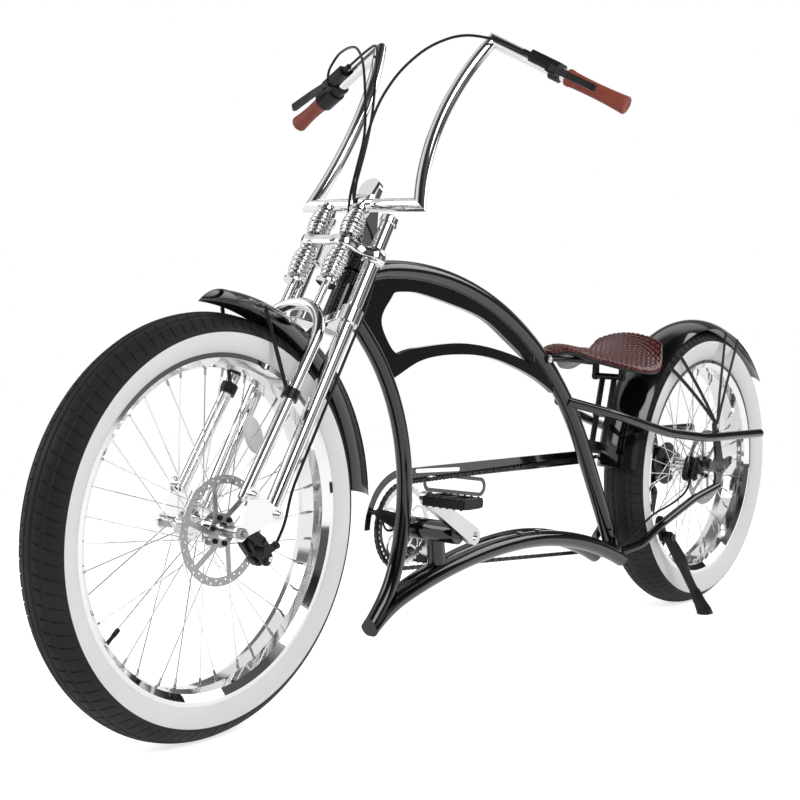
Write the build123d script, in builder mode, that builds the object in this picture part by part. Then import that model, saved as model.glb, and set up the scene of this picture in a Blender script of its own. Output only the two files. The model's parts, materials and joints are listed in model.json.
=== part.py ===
"""Stretch cruiser bicycle with a springer fork, parked on its side stand.

The bicycle is drawn upright: x forward from the rear axle, y to its left, z up
from the ground. At the end every piece is leaned onto the stand and the origin
is set on the ground under the middle of the bicycle.
"""

import os
from math import acos, atan2, ceil, cos, hypot, pi, radians, sin, tan

from build123d import *

os.makedirs("parts", exist_ok=True)

# Stance
LEAN = 2.17  # degrees to the left
WHEEL_BASE = 1650.0

# Front wheel
F_RIM_R = 285.5
F_TYRE_H = 63.8
F_TYRE_R = F_RIM_R + F_TYRE_H
F_TYRE_HALF = 47.0
F_RIM_HALF = 37.0
F_AXLE_R = 5.0

# Rear wheel
R_RIM_R = 260.5
R_TYRE_H = 74.1
R_TYRE_R = R_RIM_R + R_TYRE_H
R_TYRE_HALF = 52.0
R_RIM_HALF = 41.0
R_AXLE_R = 6.0

# Wheel parts
RIM_DEPTH = 25.0
SPOKES = 36
SPOKE_D = 2.2
HUB_R = 14.0
FLANGE_R = 29.0
FLANGE_Y = 28.0
FLANGE_T = 4.0
HUB_HALF = 52.0
ROTOR_R = 90.0
ROTOR_BAND = 14.0
ROTOR_T = 2.0
ROTOR_HOLES = 24
ROTOR_HOLE_D = 4.6
RUN = 0.05  # radial running clearance of a shaft
END_PLAY = 0.3

# Frame tubes
ARCH_D = 35.0
WEB_T = 12.0
DOWN_D = 30.0
LOWER_D = 34.0
LOWER_Y = 4.0
LOWER_SPLAY = 2.06  # degrees
YOKE_HALF = 40.0
BOSS_X = (753.0, 689.0)
BOSS_D = 13.0
BOSS_H = 3.0
BOSS_HOLE_D = 5.0
BOSS_DEPTH = 12.0
SIDE_D = 21.0
STAY_D = 19.0
HEAD_D = 48.0
STEERER_D = 25.4

# Steering
HEAD_X = 1305.0
HEAD_Z = 736.0
RAKE = 30.5  # degrees from upright
HEAD_LOW = -60.0
HEAD_TOP = 34.0
CROWN_T = 20.0
CROWN_GAP = 2.0
CROWN_ROOM = 6.0  # from the head tube to the arch, free for the turning crown

# Springer fork
LEG_Y = 72.0
LEG_D = 27.0
LEG_AHEAD = 39.5
LEG_LOW = -447.0
LEG_TOP = 128.0
FRONT_LEG_D = 21.0
FRONT_PIVOT_X = 1623.0
FRONT_PIVOT_Z = 408.0
FRONT_RAKE = 33.0
FRONT_REACH = 365.0  # front pivot to the middle of the bend
ROCKER_Y = 86.5
ROCKER_T = 5.0
NUT_T = 6.0
AXLE_FREE = 5.0
SPRING_Y = 38.0
SPRING_D = 38.0
SPRING_PITCH = 8.8
ROD_D = 13.0
LOWER_SPRING = (46.0, 107.0)  # along the rod, from the bend
UPPER_SPRING = (131.0, 193.0)

# Handlebar
BAR_D = 24.0
BAR_X = 1259.0
BAR_Z = 891.0
BAR_Y = 126.0
BAR_TOP_X = 1066.0
BAR_TOP_Z = 1200.0
BAR_TOP_Y = 133.0
BAR_MID_X = 1168.0
BAR_MID_Z = 1050.0
BAR_MID_Y = 97.0
BAR_END_X = 1014.0
BAR_END_Z = 1077.0
BAR_END_Y = 385.0
GRIP_D = 33.0
GRIP_L = 122.0

# Drive
BB_X = 1023.0
BB_Z = 280.0
BB_D = 42.0
BB_HALF = 60.0
STRUT_D = 36.0
SPINDLE_D = 22.0
CRANK_L = 170.0
CRANK_Y = 86.0
CRANK_T = 13.0
CRANK_ANGLE = 30.0
CHAIN_Y = -73.5
CHAIN_T = 7.0
CHAIN_PITCH = 12.7
CHAIN_HIGH = 8.4
RING_TEETH = 42
COG_TEETH = 18
PULLEY_TEETH = 11
GUIDE = (35.0, 262.0)
TENSION = (60.0, 155.0)
PEDAL_L = 96.0
PEDAL_W = 62.0
PEDAL_T = 22.0

# Rear end
DROP_Y = 84.0
DROP_T = 6.0
SIDE_END_X = -197.0
SIDE_END_Y = 96.0
FENDER_T = 2.0
F_FENDER_GAP = 38.7
F_FENDER_R = F_TYRE_R + F_FENDER_GAP
F_FENDER_HALF = 50.0
R_FENDER_GAP = 22.4
R_FENDER_R = R_TYRE_R + R_FENDER_GAP
R_FENDER_HALF = 54.0
FENDER_CROWN = 22.0

# Side stand
STAND_X = 220.0
STAND_Z = 190.0
STAND_Y = 75.0
STAND_D = 18.0
FOOT_X = 126.0
FOOT_Y = 127.0

PIECES = {}


def keep(name, builder):
    """Files a finished piece under its node name."""
    PIECES[name] = builder.part


# Directions of the steering axis: up along it, and forward of it.
UP = Vector(-sin(radians(RAKE)), 0, cos(radians(RAKE)))
AHEAD = Vector(cos(radians(RAKE)), 0, sin(radians(RAKE)))
FRONT_UP = Vector(-sin(radians(FRONT_RAKE)), 0, cos(radians(FRONT_RAKE)))
F_AXLE = Vector(WHEEL_BASE, 0, F_TYRE_R)
R_AXLE = Vector(0, 0, R_TYRE_R)
F_PIVOT = Vector(FRONT_PIVOT_X, 0, FRONT_PIVOT_Z)


def fork_point(along, ahead, side):
    """A point of the fork: along the steering axis, ahead of it and to the left."""
    return Vector(HEAD_X, side, HEAD_Z) + UP * along + AHEAD * ahead


def fork_plane(along, ahead=0.0, side=0.0):
    """A plane square to the steering axis, its x ahead and its y to the left."""
    return Plane(fork_point(along, ahead, side), x_dir=AHEAD, z_dir=UP)


def rod_point(along, side):
    """A point of the spring rods' line, measured up from the bend."""
    spot = F_PIVOT + FRONT_UP * (FRONT_REACH + along)
    return Vector(spot.X, side, spot.Z)


def side_plane(y):
    """An upright plane along the bicycle, its x forward and its y up."""
    return Plane((0, y, 0), x_dir=(1, 0, 0), z_dir=(0, -1, 0))


def radial_plane(axle, angle):
    """A plane through an axle: x to the left, y outward at this angle."""
    turn = radians(angle)
    return Plane(axle, x_dir=(0, 1, 0), z_dir=(sin(turn), 0, -cos(turn)))


def bar(corners, radii, diameter):
    """A round bar along straight runs joined by tangent arcs."""
    with BuildPart() as run:
        with BuildLine() as path:
            if len(corners) == 2:
                Line(*corners)
            else:
                FilletPolyline(*corners, radius=radii)
        with BuildSketch(Plane(path.line @ 0, z_dir=path.line % 0)):
            Circle(diameter / 2)
        sweep()
    return run.part


def strap(start, end, width, thick, face):
    """A flat bar between two points, its broad face towards a direction."""
    start, end = Vector(*start), Vector(*end)
    run = end - start
    across = Vector(*face).cross(run)
    with BuildPart() as flat:
        with BuildSketch(Plane(start, x_dir=across, z_dir=run)):
            Rectangle(width, thick)
        extrude(amount=run.length)
    return flat.part


# Wheels


def crown_radius(half):
    """The radius of a tyre's tread across its width."""
    rise, reach = 0.45 * half, half - 5
    return (reach**2 + rise**2) / (2 * rise)


def tyre(axle, rim_r, rim_half, radius, half):
    shoulder_r = radius - 0.45 * half
    shoulder_y = half - 5
    with BuildPart() as ring:
        with BuildSketch(radial_plane(axle, 90)):
            with BuildLine():
                ThreePointArc(
                    (rim_half, rim_r), (half, (rim_r + shoulder_r) / 2), (shoulder_y, shoulder_r)
                )
                ThreePointArc((shoulder_y, shoulder_r), (0, radius), (-shoulder_y, shoulder_r))
                ThreePointArc(
                    (-shoulder_y, shoulder_r), (-half, (rim_r + shoulder_r) / 2), (-rim_half, rim_r)
                )
                Line((-rim_half, rim_r), (rim_half, rim_r))
            make_face()
        revolve(axis=Axis(axle, (0, 1, 0)))
    return ring


def rim(axle, rim_r, rim_half):
    with BuildPart() as hoop:
        with BuildSketch(radial_plane(axle, 90)):
            with BuildLine():
                Polyline(
                    (rim_half, rim_r),
                    (rim_half, rim_r - 8),
                    (rim_half - 9, rim_r - 0.78 * RIM_DEPTH),
                    (rim_half * 0.35, rim_r - RIM_DEPTH),
                    (-rim_half * 0.35, rim_r - RIM_DEPTH),
                    (9 - rim_half, rim_r - 0.78 * RIM_DEPTH),
                    (-rim_half, rim_r - 8),
                    (-rim_half, rim_r),
                    close=True,
                )
            make_face()
        revolve(axis=Axis(axle, (0, 1, 0)))
    return hoop


def hub(axle, axle_r):
    with BuildPart() as barrel:
        with BuildSketch(radial_plane(axle, 90)):
            with BuildLine():
                Polyline(
                    (-HUB_HALF, axle_r + RUN),
                    (-HUB_HALF, HUB_R),
                    (-FLANGE_Y - FLANGE_T, HUB_R + 4),
                    (-FLANGE_Y - FLANGE_T, FLANGE_R),
                    (-FLANGE_Y, FLANGE_R),
                    (-FLANGE_Y + 3, HUB_R + 3),
                    (0, HUB_R),
                    (FLANGE_Y - 3, HUB_R + 3),
                    (FLANGE_Y, FLANGE_R),
                    (FLANGE_Y + FLANGE_T, FLANGE_R),
                    (FLANGE_Y + FLANGE_T, HUB_R + 6),
                    (HUB_HALF - 3 - ROTOR_T, HUB_R + 6),
                    (HUB_HALF - 3 - ROTOR_T, HUB_R),
                    (HUB_HALF, HUB_R),
                    (HUB_HALF, axle_r + RUN),
                    close=True,
                )
            make_face()
        revolve(axis=Axis(axle, (0, 1, 0)))
    return barrel


def rotor(axle):
    face = Plane(
        (axle.X, HUB_HALF - 3, axle.Z), x_dir=(1, 0, 0), z_dir=(0, -1, 0)
    )
    with BuildPart() as disc:
        with BuildSketch(face):
            Circle(ROTOR_R)
            Circle(ROTOR_R - ROTOR_BAND, mode=Mode.SUBTRACT)
            Circle(HUB_R + 14)
            with PolarLocations(0, 6):
                with Locations((ROTOR_R / 2 + 10, 12)):
                    Rectangle(ROTOR_R - 26, 9, rotation=24)
            for share, shift in ((0.3, 0), (0.68, 0.5)):
                with PolarLocations(
                    ROTOR_R - share * ROTOR_BAND, ROTOR_HOLES, start_angle=shift * 360 / ROTOR_HOLES
                ):
                    Circle(ROTOR_HOLE_D / 2, mode=Mode.SUBTRACT)
            Circle(HUB_R, mode=Mode.SUBTRACT)
        extrude(amount=ROTOR_T)
    return disc


def spokes(axle, rim_r, barrel, hoop):
    inner = FLANGE_R - 3
    outer = rim_r - RIM_DEPTH + 4
    spots = []
    for i in range(SPOKES):
        side = 1 if i % 2 else -1
        lead = 1 if (i // 2) % 2 else -1
        at_rim = 2 * pi * i / SPOKES
        at_hub = at_rim + lead * radians(62)
        height = side * (FLANGE_Y + FLANGE_T / 2 + lead * 2.6)
        start = axle + Vector(inner * cos(at_hub), height, inner * sin(at_hub))
        end = axle + Vector(outer * cos(at_rim), side * 4 + lead * 1.5, outer * sin(at_rim))
        spots.append((start, end))
    with BuildPart() as wires:
        for start, end in spots:
            with Locations(Plane(start, z_dir=end - start)):
                Cylinder(
                    SPOKE_D / 2,
                    (end - start).length,
                    align=(Align.CENTER, Align.CENTER, Align.MIN),
                )
        add(barrel.part, mode=Mode.SUBTRACT)
        add(hoop.part, mode=Mode.SUBTRACT)
    return wires


front_tyre = tyre(F_AXLE, F_RIM_R, F_RIM_HALF, F_TYRE_R, F_TYRE_HALF)
front_rim = rim(F_AXLE, F_RIM_R, F_RIM_HALF)
front_hub = hub(F_AXLE, F_AXLE_R)
front_rotor = rotor(F_AXLE)
front_spokes = spokes(F_AXLE, F_RIM_R, front_hub, front_rim)
rear_tyre = tyre(R_AXLE, R_RIM_R, R_RIM_HALF, R_TYRE_R, R_TYRE_HALF)
rear_rim = rim(R_AXLE, R_RIM_R, R_RIM_HALF)
rear_hub = hub(R_AXLE, R_AXLE_R)
rear_rotor = rotor(R_AXLE)
rear_spokes = spokes(R_AXLE, R_RIM_R, rear_hub, rear_rim)
for name, wheel_piece in (
    ("front_tyre", front_tyre),
    ("front_rim", front_rim),
    ("front_hub", front_hub),
    ("front_rotor", front_rotor),
    ("front_spokes", front_spokes),
    ("rear_tyre", rear_tyre),
    ("rear_rim", rear_rim),
    ("rear_hub", rear_hub),
    ("rear_rotor", rear_rotor),
    ("rear_spokes", rear_spokes),
):
    keep(name, wheel_piece)


# Head tube and frame tubes

with BuildPart() as head_tube:
    with BuildSketch(fork_plane(HEAD_LOW)):
        Circle(HEAD_D / 2)
        Circle(STEERER_D / 2 + RUN, mode=Mode.SUBTRACT)
    extrude(amount=HEAD_TOP - HEAD_LOW)
    fillet(head_tube.edges().filter_by(GeomType.CIRCLE).group_by(SortBy.RADIUS)[-1], 2)
keep("head_tube", head_tube)

ARCH_FRONT = (1297.8, 751.4)
ARCH_HEADING = 153.2
ARCH_BENDS = ((250.0, 24.0), (790.5, 61.4))
ARCH_TAIL = 292.0
with BuildPart() as frame_arch:
    with BuildLine(Plane.XZ) as arch_path:
        heading = radians(ARCH_HEADING)
        front_bend = JernArc(
            ARCH_FRONT, (cos(heading), sin(heading)), ARCH_BENDS[0][0], ARCH_BENDS[0][1]
        )
        main_bend = JernArc(
            front_bend @ 1, front_bend % 1, ARCH_BENDS[1][0], ARCH_BENDS[1][1]
        )
        PolarLine(main_bend @ 1, ARCH_TAIL, direction=main_bend % 1)
    with BuildSketch(Plane(arch_path.line @ 0, z_dir=arch_path.line % 0)):
        Circle(ARCH_D / 2)
    sweep()
    with BuildSketch(fork_plane(HEAD_LOW - ARCH_D)):
        Circle(HEAD_D / 2 + CROWN_ROOM)
    extrude(amount=HEAD_TOP - HEAD_LOW + 2 * ARCH_D, mode=Mode.SUBTRACT)

DOWN_START = (1312.0, 724.0)
DOWN_HEADING = 226.0
DOWN_RUN = 110.0
DOWN_BENDS = ((420.0, 62.0), (220.0, 24.0))
DOWN_TIP = 70.0
TIP = Vector(1204, 0, 122)
TIP_HEADING = radians(137.5)
TIP_SLANT = radians(12)
TIP_MITRE = Plane(TIP, x_dir=(0, 1, 0), z_dir=(sin(TIP_HEADING), 0, -cos(TIP_HEADING)))
TIP_FACE = Plane(TIP + Vector(7, 0, 0), x_dir=(0, 1, 0), z_dir=(cos(TIP_SLANT), 0, -sin(TIP_SLANT)))
with BuildPart() as down_tube:
    with BuildLine(Plane.XZ) as down_path:
        first = PolarLine(DOWN_START, DOWN_RUN, DOWN_HEADING)
        long_bend = JernArc(first @ 1, first % 1, DOWN_BENDS[0][0], DOWN_BENDS[0][1])
        low_bend = JernArc(long_bend @ 1, long_bend % 1, DOWN_BENDS[1][0], DOWN_BENDS[1][1])
        tip = PolarLine(low_bend @ 1, DOWN_TIP, direction=low_bend % 1)
    with BuildSketch(Plane(down_path.line @ 0, z_dir=down_path.line % 0)):
        Circle(DOWN_D / 2)
    sweep()
    split(bisect_by=TIP_MITRE, keep=Keep.TOP)
    split(bisect_by=TIP_FACE, keep=Keep.BOTTOM)
    with BuildSketch(fork_plane(HEAD_LOW - ARCH_D)):
        Circle(HEAD_D / 2)
    extrude(amount=HEAD_TOP - HEAD_LOW + 2 * ARCH_D, mode=Mode.SUBTRACT)
    add(frame_arch.part, mode=Mode.SUBTRACT)

# The web is a flat plate in the middle plane, with a teardrop window.
with BuildPart() as frame_web:
    with BuildSketch(side_plane(WEB_T / 2)):
        with BuildLine():
            Polyline((1288, 750), (1300, 712), (1236, 645), (1178, 575))
            Spline((1178, 575), (1140, 590), (1100, 606), (1051, 616), (965, 620), (853, 611),
                   (777, 593), (702, 569), (623, 533))
            Line((623, 533), (640, 575))
            Spline((640, 575), (743, 659), (903, 737), (1050, 770), (1180, 777))
            Line((1180, 777), (1288, 750))
        make_face()
        with BuildLine():
            Spline((700, 590), (779, 616), (854, 631), (969, 642), (1080, 636), (1147, 625),
                   tangents=((0.9, 0.45), (0.95, -0.3)))
            Spline((1147, 625), (1190, 650), (1207, 692), (1180, 728), (1130, 739),
                   tangents=((0.95, -0.3), (-1, 0.0)))
            Spline((1130, 739), (1067, 732), (970, 712), (857, 677), (820, 657), (700, 590),
                   tangents=((-1, 0.0), (-0.86, -0.5)))
        make_face(mode=Mode.SUBTRACT)
    extrude(amount=WEB_T)
    for cutter in (frame_arch, down_tube, head_tube):
        add(cutter.part, mode=Mode.SUBTRACT)
    with BuildSketch(fork_plane(HEAD_LOW - ARCH_D)):
        Circle(HEAD_D / 2)
    extrude(amount=HEAD_TOP - HEAD_LOW + 2 * ARCH_D, mode=Mode.SUBTRACT)

LOWER_FRONT = (1205.0, 122.0)
LOWER_HEADING = 143.0
LOWER_BENDS = ((300.0, 19.0), (1290.0, 16.0), (900.0, 26.3))
splay = radians(LOWER_SPLAY)


def path_at_x(wire, x):
    """The point of a path, running rearward, at this x."""
    low, high = 0.0, 1.0
    for _ in range(40):
        middle = (low + high) / 2
        if (wire @ middle).X > x:
            low = middle
        else:
            high = middle
    return wire @ low


with BuildPart() as lower_tubes:
    lane = Plane(
        (LOWER_FRONT[0], LOWER_Y, 0),
        x_dir=(cos(splay), -sin(splay), 0),
        z_dir=(-sin(splay), -cos(splay), 0),
    )
    with BuildLine(lane) as lower_path:
        heading = radians(LOWER_HEADING)
        nose = (DOWN_D * cos(heading), DOWN_D * sin(heading))
        Line((-nose[0], LOWER_FRONT[1] - nose[1]), (0, LOWER_FRONT[1]))
        bend = JernArc((0, LOWER_FRONT[1]), (cos(heading), sin(heading)), *LOWER_BENDS[0])
        bend = JernArc(bend @ 1, bend % 1, *LOWER_BENDS[1])
        bend = JernArc(bend @ 1, bend % 1, *LOWER_BENDS[2])
    with BuildSketch(Plane(lower_path.line @ 0, z_dir=lower_path.line % 0)):
        Circle(LOWER_D / 2)
    sweep()
    split(bisect_by=Plane.XZ, keep=Keep.BOTTOM)
    mirror(about=Plane.XZ)
    rear_end = lower_path.line @ 1
    with BuildSketch(side_plane(YOKE_HALF)):
        with Locations((rear_end.X + 3, rear_end.Z + 14)):
            Circle(LOWER_D / 2)
    extrude(amount=2 * YOKE_HALF)
    split(bisect_by=TIP_MITRE, keep=Keep.BOTTOM)
    split(bisect_by=TIP_FACE, keep=Keep.BOTTOM)
    boss_tops = [path_at_x(lower_path.line, x) + Vector(0, 0, LOWER_D / 2 + BOSS_H) for x in BOSS_X]
    for top in boss_tops:
        with BuildSketch(Plane(top)):
            Circle(BOSS_D / 2)
        extrude(amount=-BOSS_H - 4)
    for top in boss_tops:
        with BuildSketch(Plane(top)):
            Circle(BOSS_HOLE_D / 2)
        extrude(amount=-BOSS_DEPTH, mode=Mode.SUBTRACT)
with BuildPart() as arch_tube:
    add(frame_arch.part)
    add(lower_tubes.part, mode=Mode.SUBTRACT)
keep("frame_arch", arch_tube)
keep("down_tube", down_tube)
keep("frame_web", frame_web)
keep("lower_tubes", lower_tubes)

# Bottom bracket on its strut
bb_post = bar(((BB_X - 4, 0, BB_Z - 5), (BB_X - 18, 0, BB_Z - 95)), None, STRUT_D)
with BuildPart() as bottom_bracket:
    with BuildSketch(side_plane(BB_HALF)):
        with Locations((BB_X, BB_Z)):
            Circle(BB_D / 2)
    extrude(amount=2 * BB_HALF)
    add(bb_post)
    with BuildSketch(side_plane(BB_HALF)):
        with Locations((BB_X, BB_Z)):
            Circle(SPINDLE_D / 2 + RUN)
    extrude(amount=2 * BB_HALF, mode=Mode.SUBTRACT)
    add(lower_tubes.part, mode=Mode.SUBTRACT)
keep("bottom_bracket", bottom_bracket)

# Rear side tubes and stays
SIDE_RUN = (
    (575, 10, 514),
    (445, 58, 482),
    (355, 69, 459),
    (250, 82, 434),
    (90, 94, 415),
    (SIDE_END_X, SIDE_END_Y, 411),
)
side_left = bar(SIDE_RUN, [250, 400, 400, 500], SIDE_D)
with BuildPart() as side_tubes:
    add(side_left)
    fillet(side_tubes.edges().sort_by(Axis.X)[0], 6)
    mirror(about=Plane.XZ)
    add(frame_arch.part, mode=Mode.SUBTRACT)
keep("side_tubes", side_tubes)

STAY_RUN = (
    (372, 30, 165),
    (320, 61, 182),
    (250, 72, 222),
    (120, 82, 270),
    (12, 89.5, 294),
)
stay_left = bar(STAY_RUN, [60, 120, 300], STAY_D)
with BuildPart() as chainstays:
    add(stay_left)
    mirror(about=Plane.XZ)
    add(lower_tubes.part, mode=Mode.SUBTRACT)
keep("chainstays", chainstays)



def tied_outline(ties, closing):
    """The outline of round ends tied in pairs, its inner corners rounded."""
    outlines = []
    for first, second in ties:
        with BuildSketch() as tie:
            for x, y, r in (first, second):
                with Locations((x, y)):
                    Circle(r)
            make_hull()
        outlines.append(tie.sketch)
    with BuildSketch() as plan:
        for outline in outlines:
            add(outline)
        offset(amount=closing)
        offset(amount=-closing)
    return plan.sketch


AXLE_LUG = (R_AXLE.X, R_AXLE.Z, 17)
STAY_LUG = (34, 441, 11)
DROP_LUGS = (STAY_LUG, (-50, 352, 10), (14, 296, 13), (50, 346, 10))
dropout_plan = tied_outline([(AXLE_LUG, lug) for lug in DROP_LUGS], 12)
with BuildPart() as dropouts:
    with BuildSketch(side_plane(DROP_Y + DROP_T)):
        add(dropout_plan)
        with Locations((R_AXLE.X, R_AXLE.Z)):
            Circle(R_AXLE_R, mode=Mode.SUBTRACT)
    extrude(amount=DROP_T)
    mirror(about=Plane.XZ)
    add(side_tubes.part, mode=Mode.SUBTRACT)
    add(chainstays.part, mode=Mode.SUBTRACT)
keep("dropouts", dropouts)


def wheel_axle(centre, radius, spacer_r, plate_y, plate_t):
    """An axle with spacers beside the hub and nuts outside the plates."""
    end = plate_y + plate_t + NUT_T + AXLE_FREE
    with BuildPart() as pin:
        with BuildSketch(side_plane(end)):
            with Locations((centre.X, centre.Z)):
                Circle(radius)
        extrude(amount=2 * end)
        for left in (plate_y, -HUB_HALF - END_PLAY):
            with BuildSketch(side_plane(left)):
                with Locations((centre.X, centre.Z)):
                    Circle(spacer_r)
            extrude(amount=plate_y - HUB_HALF - END_PLAY)
        for left in (plate_y + plate_t + NUT_T, -plate_y - plate_t):
            with BuildSketch(side_plane(left)):
                with Locations((centre.X, centre.Z)):
                    RegularPolygon(9.5, 6)
            extrude(amount=NUT_T)
    return pin


front_axle = wheel_axle(F_AXLE, F_AXLE_R, 9.0, ROCKER_Y, ROCKER_T)
keep("front_axle", front_axle)
rear_axle = wheel_axle(R_AXLE, R_AXLE_R, 10.0, DROP_Y, DROP_T)


def fender(axle_spot, radius, half, first, last):
    """A crowned mudguard from one angle round its axle to another."""
    with BuildPart() as guard:
        with BuildSketch(radial_plane(axle_spot, last)):
            with BuildLine():
                edge_r = radius - FENDER_CROWN
                ThreePointArc((half, edge_r), (0, radius), (-half, edge_r))
                Line((-half, edge_r), (-half + FENDER_T, edge_r))
                ThreePointArc(
                    (-half + FENDER_T, edge_r), (0, radius - FENDER_T), (half - FENDER_T, edge_r)
                )
                Line((half - FENDER_T, edge_r), (half, edge_r))
            make_face()
        revolve(axis=Axis(axle_spot, (0, 1, 0)), revolution_arc=last - first)
    return guard


front_fender = fender(F_AXLE, F_FENDER_R, F_FENDER_HALF, 95, 176)
rear_fender = fender(R_AXLE, R_FENDER_R, R_FENDER_HALF, 3, 143)
keep("front_fender", front_fender)
keep("rear_fender", rear_fender)

# Flat stays from the rear side tubes up to the mudguard's edges
def rim_spot(axle_spot, radius, angle, side):
    turn = radians(angle)
    return (axle_spot.X + radius * cos(turn), side, axle_spot.Z + radius * sin(turn))


STAY_W = 8.0
STAY_T = 3.0
STAY_ENDS = (49, 58, 101, 113)  # degrees round the axle
stay_y = DROP_Y + DROP_T + STAY_T / 2
fender_arms = [
    strap(
        (STAY_LUG[0], stay_y, STAY_LUG[1]),
        rim_spot(R_AXLE, R_FENDER_R - 14, turn, R_FENDER_HALF + STAY_T / 2),
        STAY_W, STAY_T, (0, 1, 0),
    )
    for turn in STAY_ENDS
]
with BuildPart() as fender_stays:
    for arm in fender_arms:
        add(arm)
    with BuildSketch(side_plane(DROP_Y + DROP_T + STAY_T)):
        with Locations(STAY_LUG[:2]):
            Circle(STAY_LUG[2])
    extrude(amount=STAY_T)
    mirror(about=Plane.XZ)
    add(side_tubes.part, mode=Mode.SUBTRACT)
    add(rear_fender.part, mode=Mode.SUBTRACT)
    add(dropouts.part, mode=Mode.SUBTRACT)
keep("fender_stays", fender_stays)

# Springer fork


def link(plane, first, second, thick):
    """A flat link between two round ends, each given as x, y and radius."""
    with BuildPart() as plate:
        with BuildSketch(plane):
            for x, y, r in (first, second):
                with Locations((x, y)):
                    Circle(r)
            make_hull()
        extrude(amount=thick)
    return plate.part


with BuildPart() as fork_legs:
    for side in (LEG_Y, -LEG_Y):
        with BuildSketch(fork_plane(LEG_LOW - 12, LEG_AHEAD, side)):
            Circle(LEG_D / 2)
        extrude(amount=LEG_TOP - LEG_LOW + 10)
        with BuildSketch(fork_plane(LEG_TOP - 12, LEG_AHEAD, side)):
            Circle(LEG_D / 2 + 3)
        extrude(amount=14)
    fillet(fork_legs.edges().filter_by(GeomType.CIRCLE).group_by(Axis.Z)[-1], 3)
keep("fork_legs", fork_legs)

LOW_CROWN = HEAD_LOW - CROWN_GAP - CROWN_T
HIGH_CROWN = HEAD_TOP + CROWN_GAP
with BuildPart() as steerer:
    with BuildSketch(fork_plane(LOW_CROWN)):
        Circle(STEERER_D / 2)
    extrude(amount=HIGH_CROWN + CROWN_T + 40 - LOW_CROWN)
keep("steerer", steerer)

with BuildPart() as front_legs:
    bend_at = F_PIVOT + FRONT_UP * (FRONT_REACH - LEG_Y)
    foot_at = F_PIVOT - FRONT_UP * 9
    with BuildLine() as u_path:
        Line((foot_at.X, LEG_Y, foot_at.Z), (bend_at.X, LEG_Y, bend_at.Z))
        ThreePointArc(
            (bend_at.X, LEG_Y, bend_at.Z), rod_point(0, 0), (bend_at.X, -LEG_Y, bend_at.Z)
        )
        Line((bend_at.X, -LEG_Y, bend_at.Z), (foot_at.X, -LEG_Y, foot_at.Z))
    with BuildSketch(Plane(u_path.line @ 0, z_dir=u_path.line % 0)):
        Circle(FRONT_LEG_D / 2)
    sweep()
keep("front_legs", front_legs)


def rod_at(along):
    """Where the spring rods' line crosses a height on the steering axis."""
    base = rod_point(0, 0) - Vector(HEAD_X, 0, HEAD_Z)
    return (along - base.dot(UP)) / FRONT_UP.dot(UP)


def perch_ahead(along):
    return (rod_point(rod_at(along), 0) - Vector(HEAD_X, 0, HEAD_Z)).dot(AHEAD)


ROD_TOP = UPPER_SPRING[1] + 4
with BuildPart() as spring_rods:
    for side in (SPRING_Y, -SPRING_Y):
        for start, length, r in (
            (-12.0, ROD_TOP + 22, ROD_D / 2),
            (LOWER_SPRING[0] - 4, 4.0, SPRING_D / 2),
            (UPPER_SPRING[1], 5.0, SPRING_D / 2 - 1),
            (UPPER_SPRING[1] + 5, 9.0, ROD_D / 2 + 4),
        ):
            with BuildSketch(Plane(rod_point(start, side), z_dir=FRONT_UP)):
                Circle(r)
            extrude(amount=length)
    add(front_legs.part, mode=Mode.SUBTRACT)
keep("spring_rods", spring_rods)

CROWN_COLLAR = 4.0  # a leg clamp stands proud of its plate
CLAMP_R = LEG_D / 2 + 6
perch = perch_ahead(HIGH_CROWN + CROWN_T / 2)
high_ties = [((perch, SPRING_Y, 17), (perch, -SPRING_Y, 17))]
low_ties = []
for hand in (1, -1):
    clamp = (LEG_AHEAD, hand * LEG_Y, 15)
    seat = (perch, hand * SPRING_Y, 15)
    high_ties += [((0, 0, 21), clamp), ((0, 0, 21), seat), (clamp, seat)]
    low_ties.append(((0, 0, 23), clamp))


def crown(ties, along, cutters):
    """A fork crown: a plate square to the steering axis with a clamp for each leg."""
    plan = tied_outline(ties, 10)
    with BuildPart() as plate:
        with BuildSketch(fork_plane(along)):
            add(plan)
        extrude(amount=CROWN_T)
        fillet(plate.edges().filter_by(Plane(fork_point(along, 0, 0), z_dir=UP)), 3)
        for hand in (1, -1):
            with BuildSketch(fork_plane(along - CROWN_COLLAR, LEG_AHEAD, hand * LEG_Y)):
                Circle(CLAMP_R)
            extrude(amount=CROWN_T + 2 * CROWN_COLLAR)
        for cutter in cutters:
            add(cutter.part, mode=Mode.SUBTRACT)
    return plate


upper_crown = crown(high_ties, HIGH_CROWN, (fork_legs, steerer, spring_rods))
lower_crown = crown(low_ties, LOW_CROWN, (fork_legs, steerer))
keep("upper_crown", upper_crown)
keep("lower_crown", lower_crown)


def spring(start, end, side):
    """A close-wound coil, drawn as its stack of turns."""
    turns = round((end - start) / SPRING_PITCH)
    rise = (end - start) / turns
    base = rod_point(start, side)
    across = Vector(0, 1, 0)
    profile = [(ROD_D / 2, 0)]
    for turn in range(turns):
        profile.append((SPRING_D / 2 - 4, turn * rise))
        profile.append((SPRING_D / 2, (turn + 0.3) * rise))
        profile.append((SPRING_D / 2, (turn + 0.7) * rise))
    profile.append((SPRING_D / 2 - 4, end - start))
    profile.append((ROD_D / 2, end - start))
    with BuildPart() as coil:
        with BuildSketch(Plane(base, x_dir=across, z_dir=across.cross(FRONT_UP))):
            with BuildLine():
                Polyline(*profile, close=True)
            make_face()
        revolve(axis=Axis(base, FRONT_UP))
    return coil.part


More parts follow.
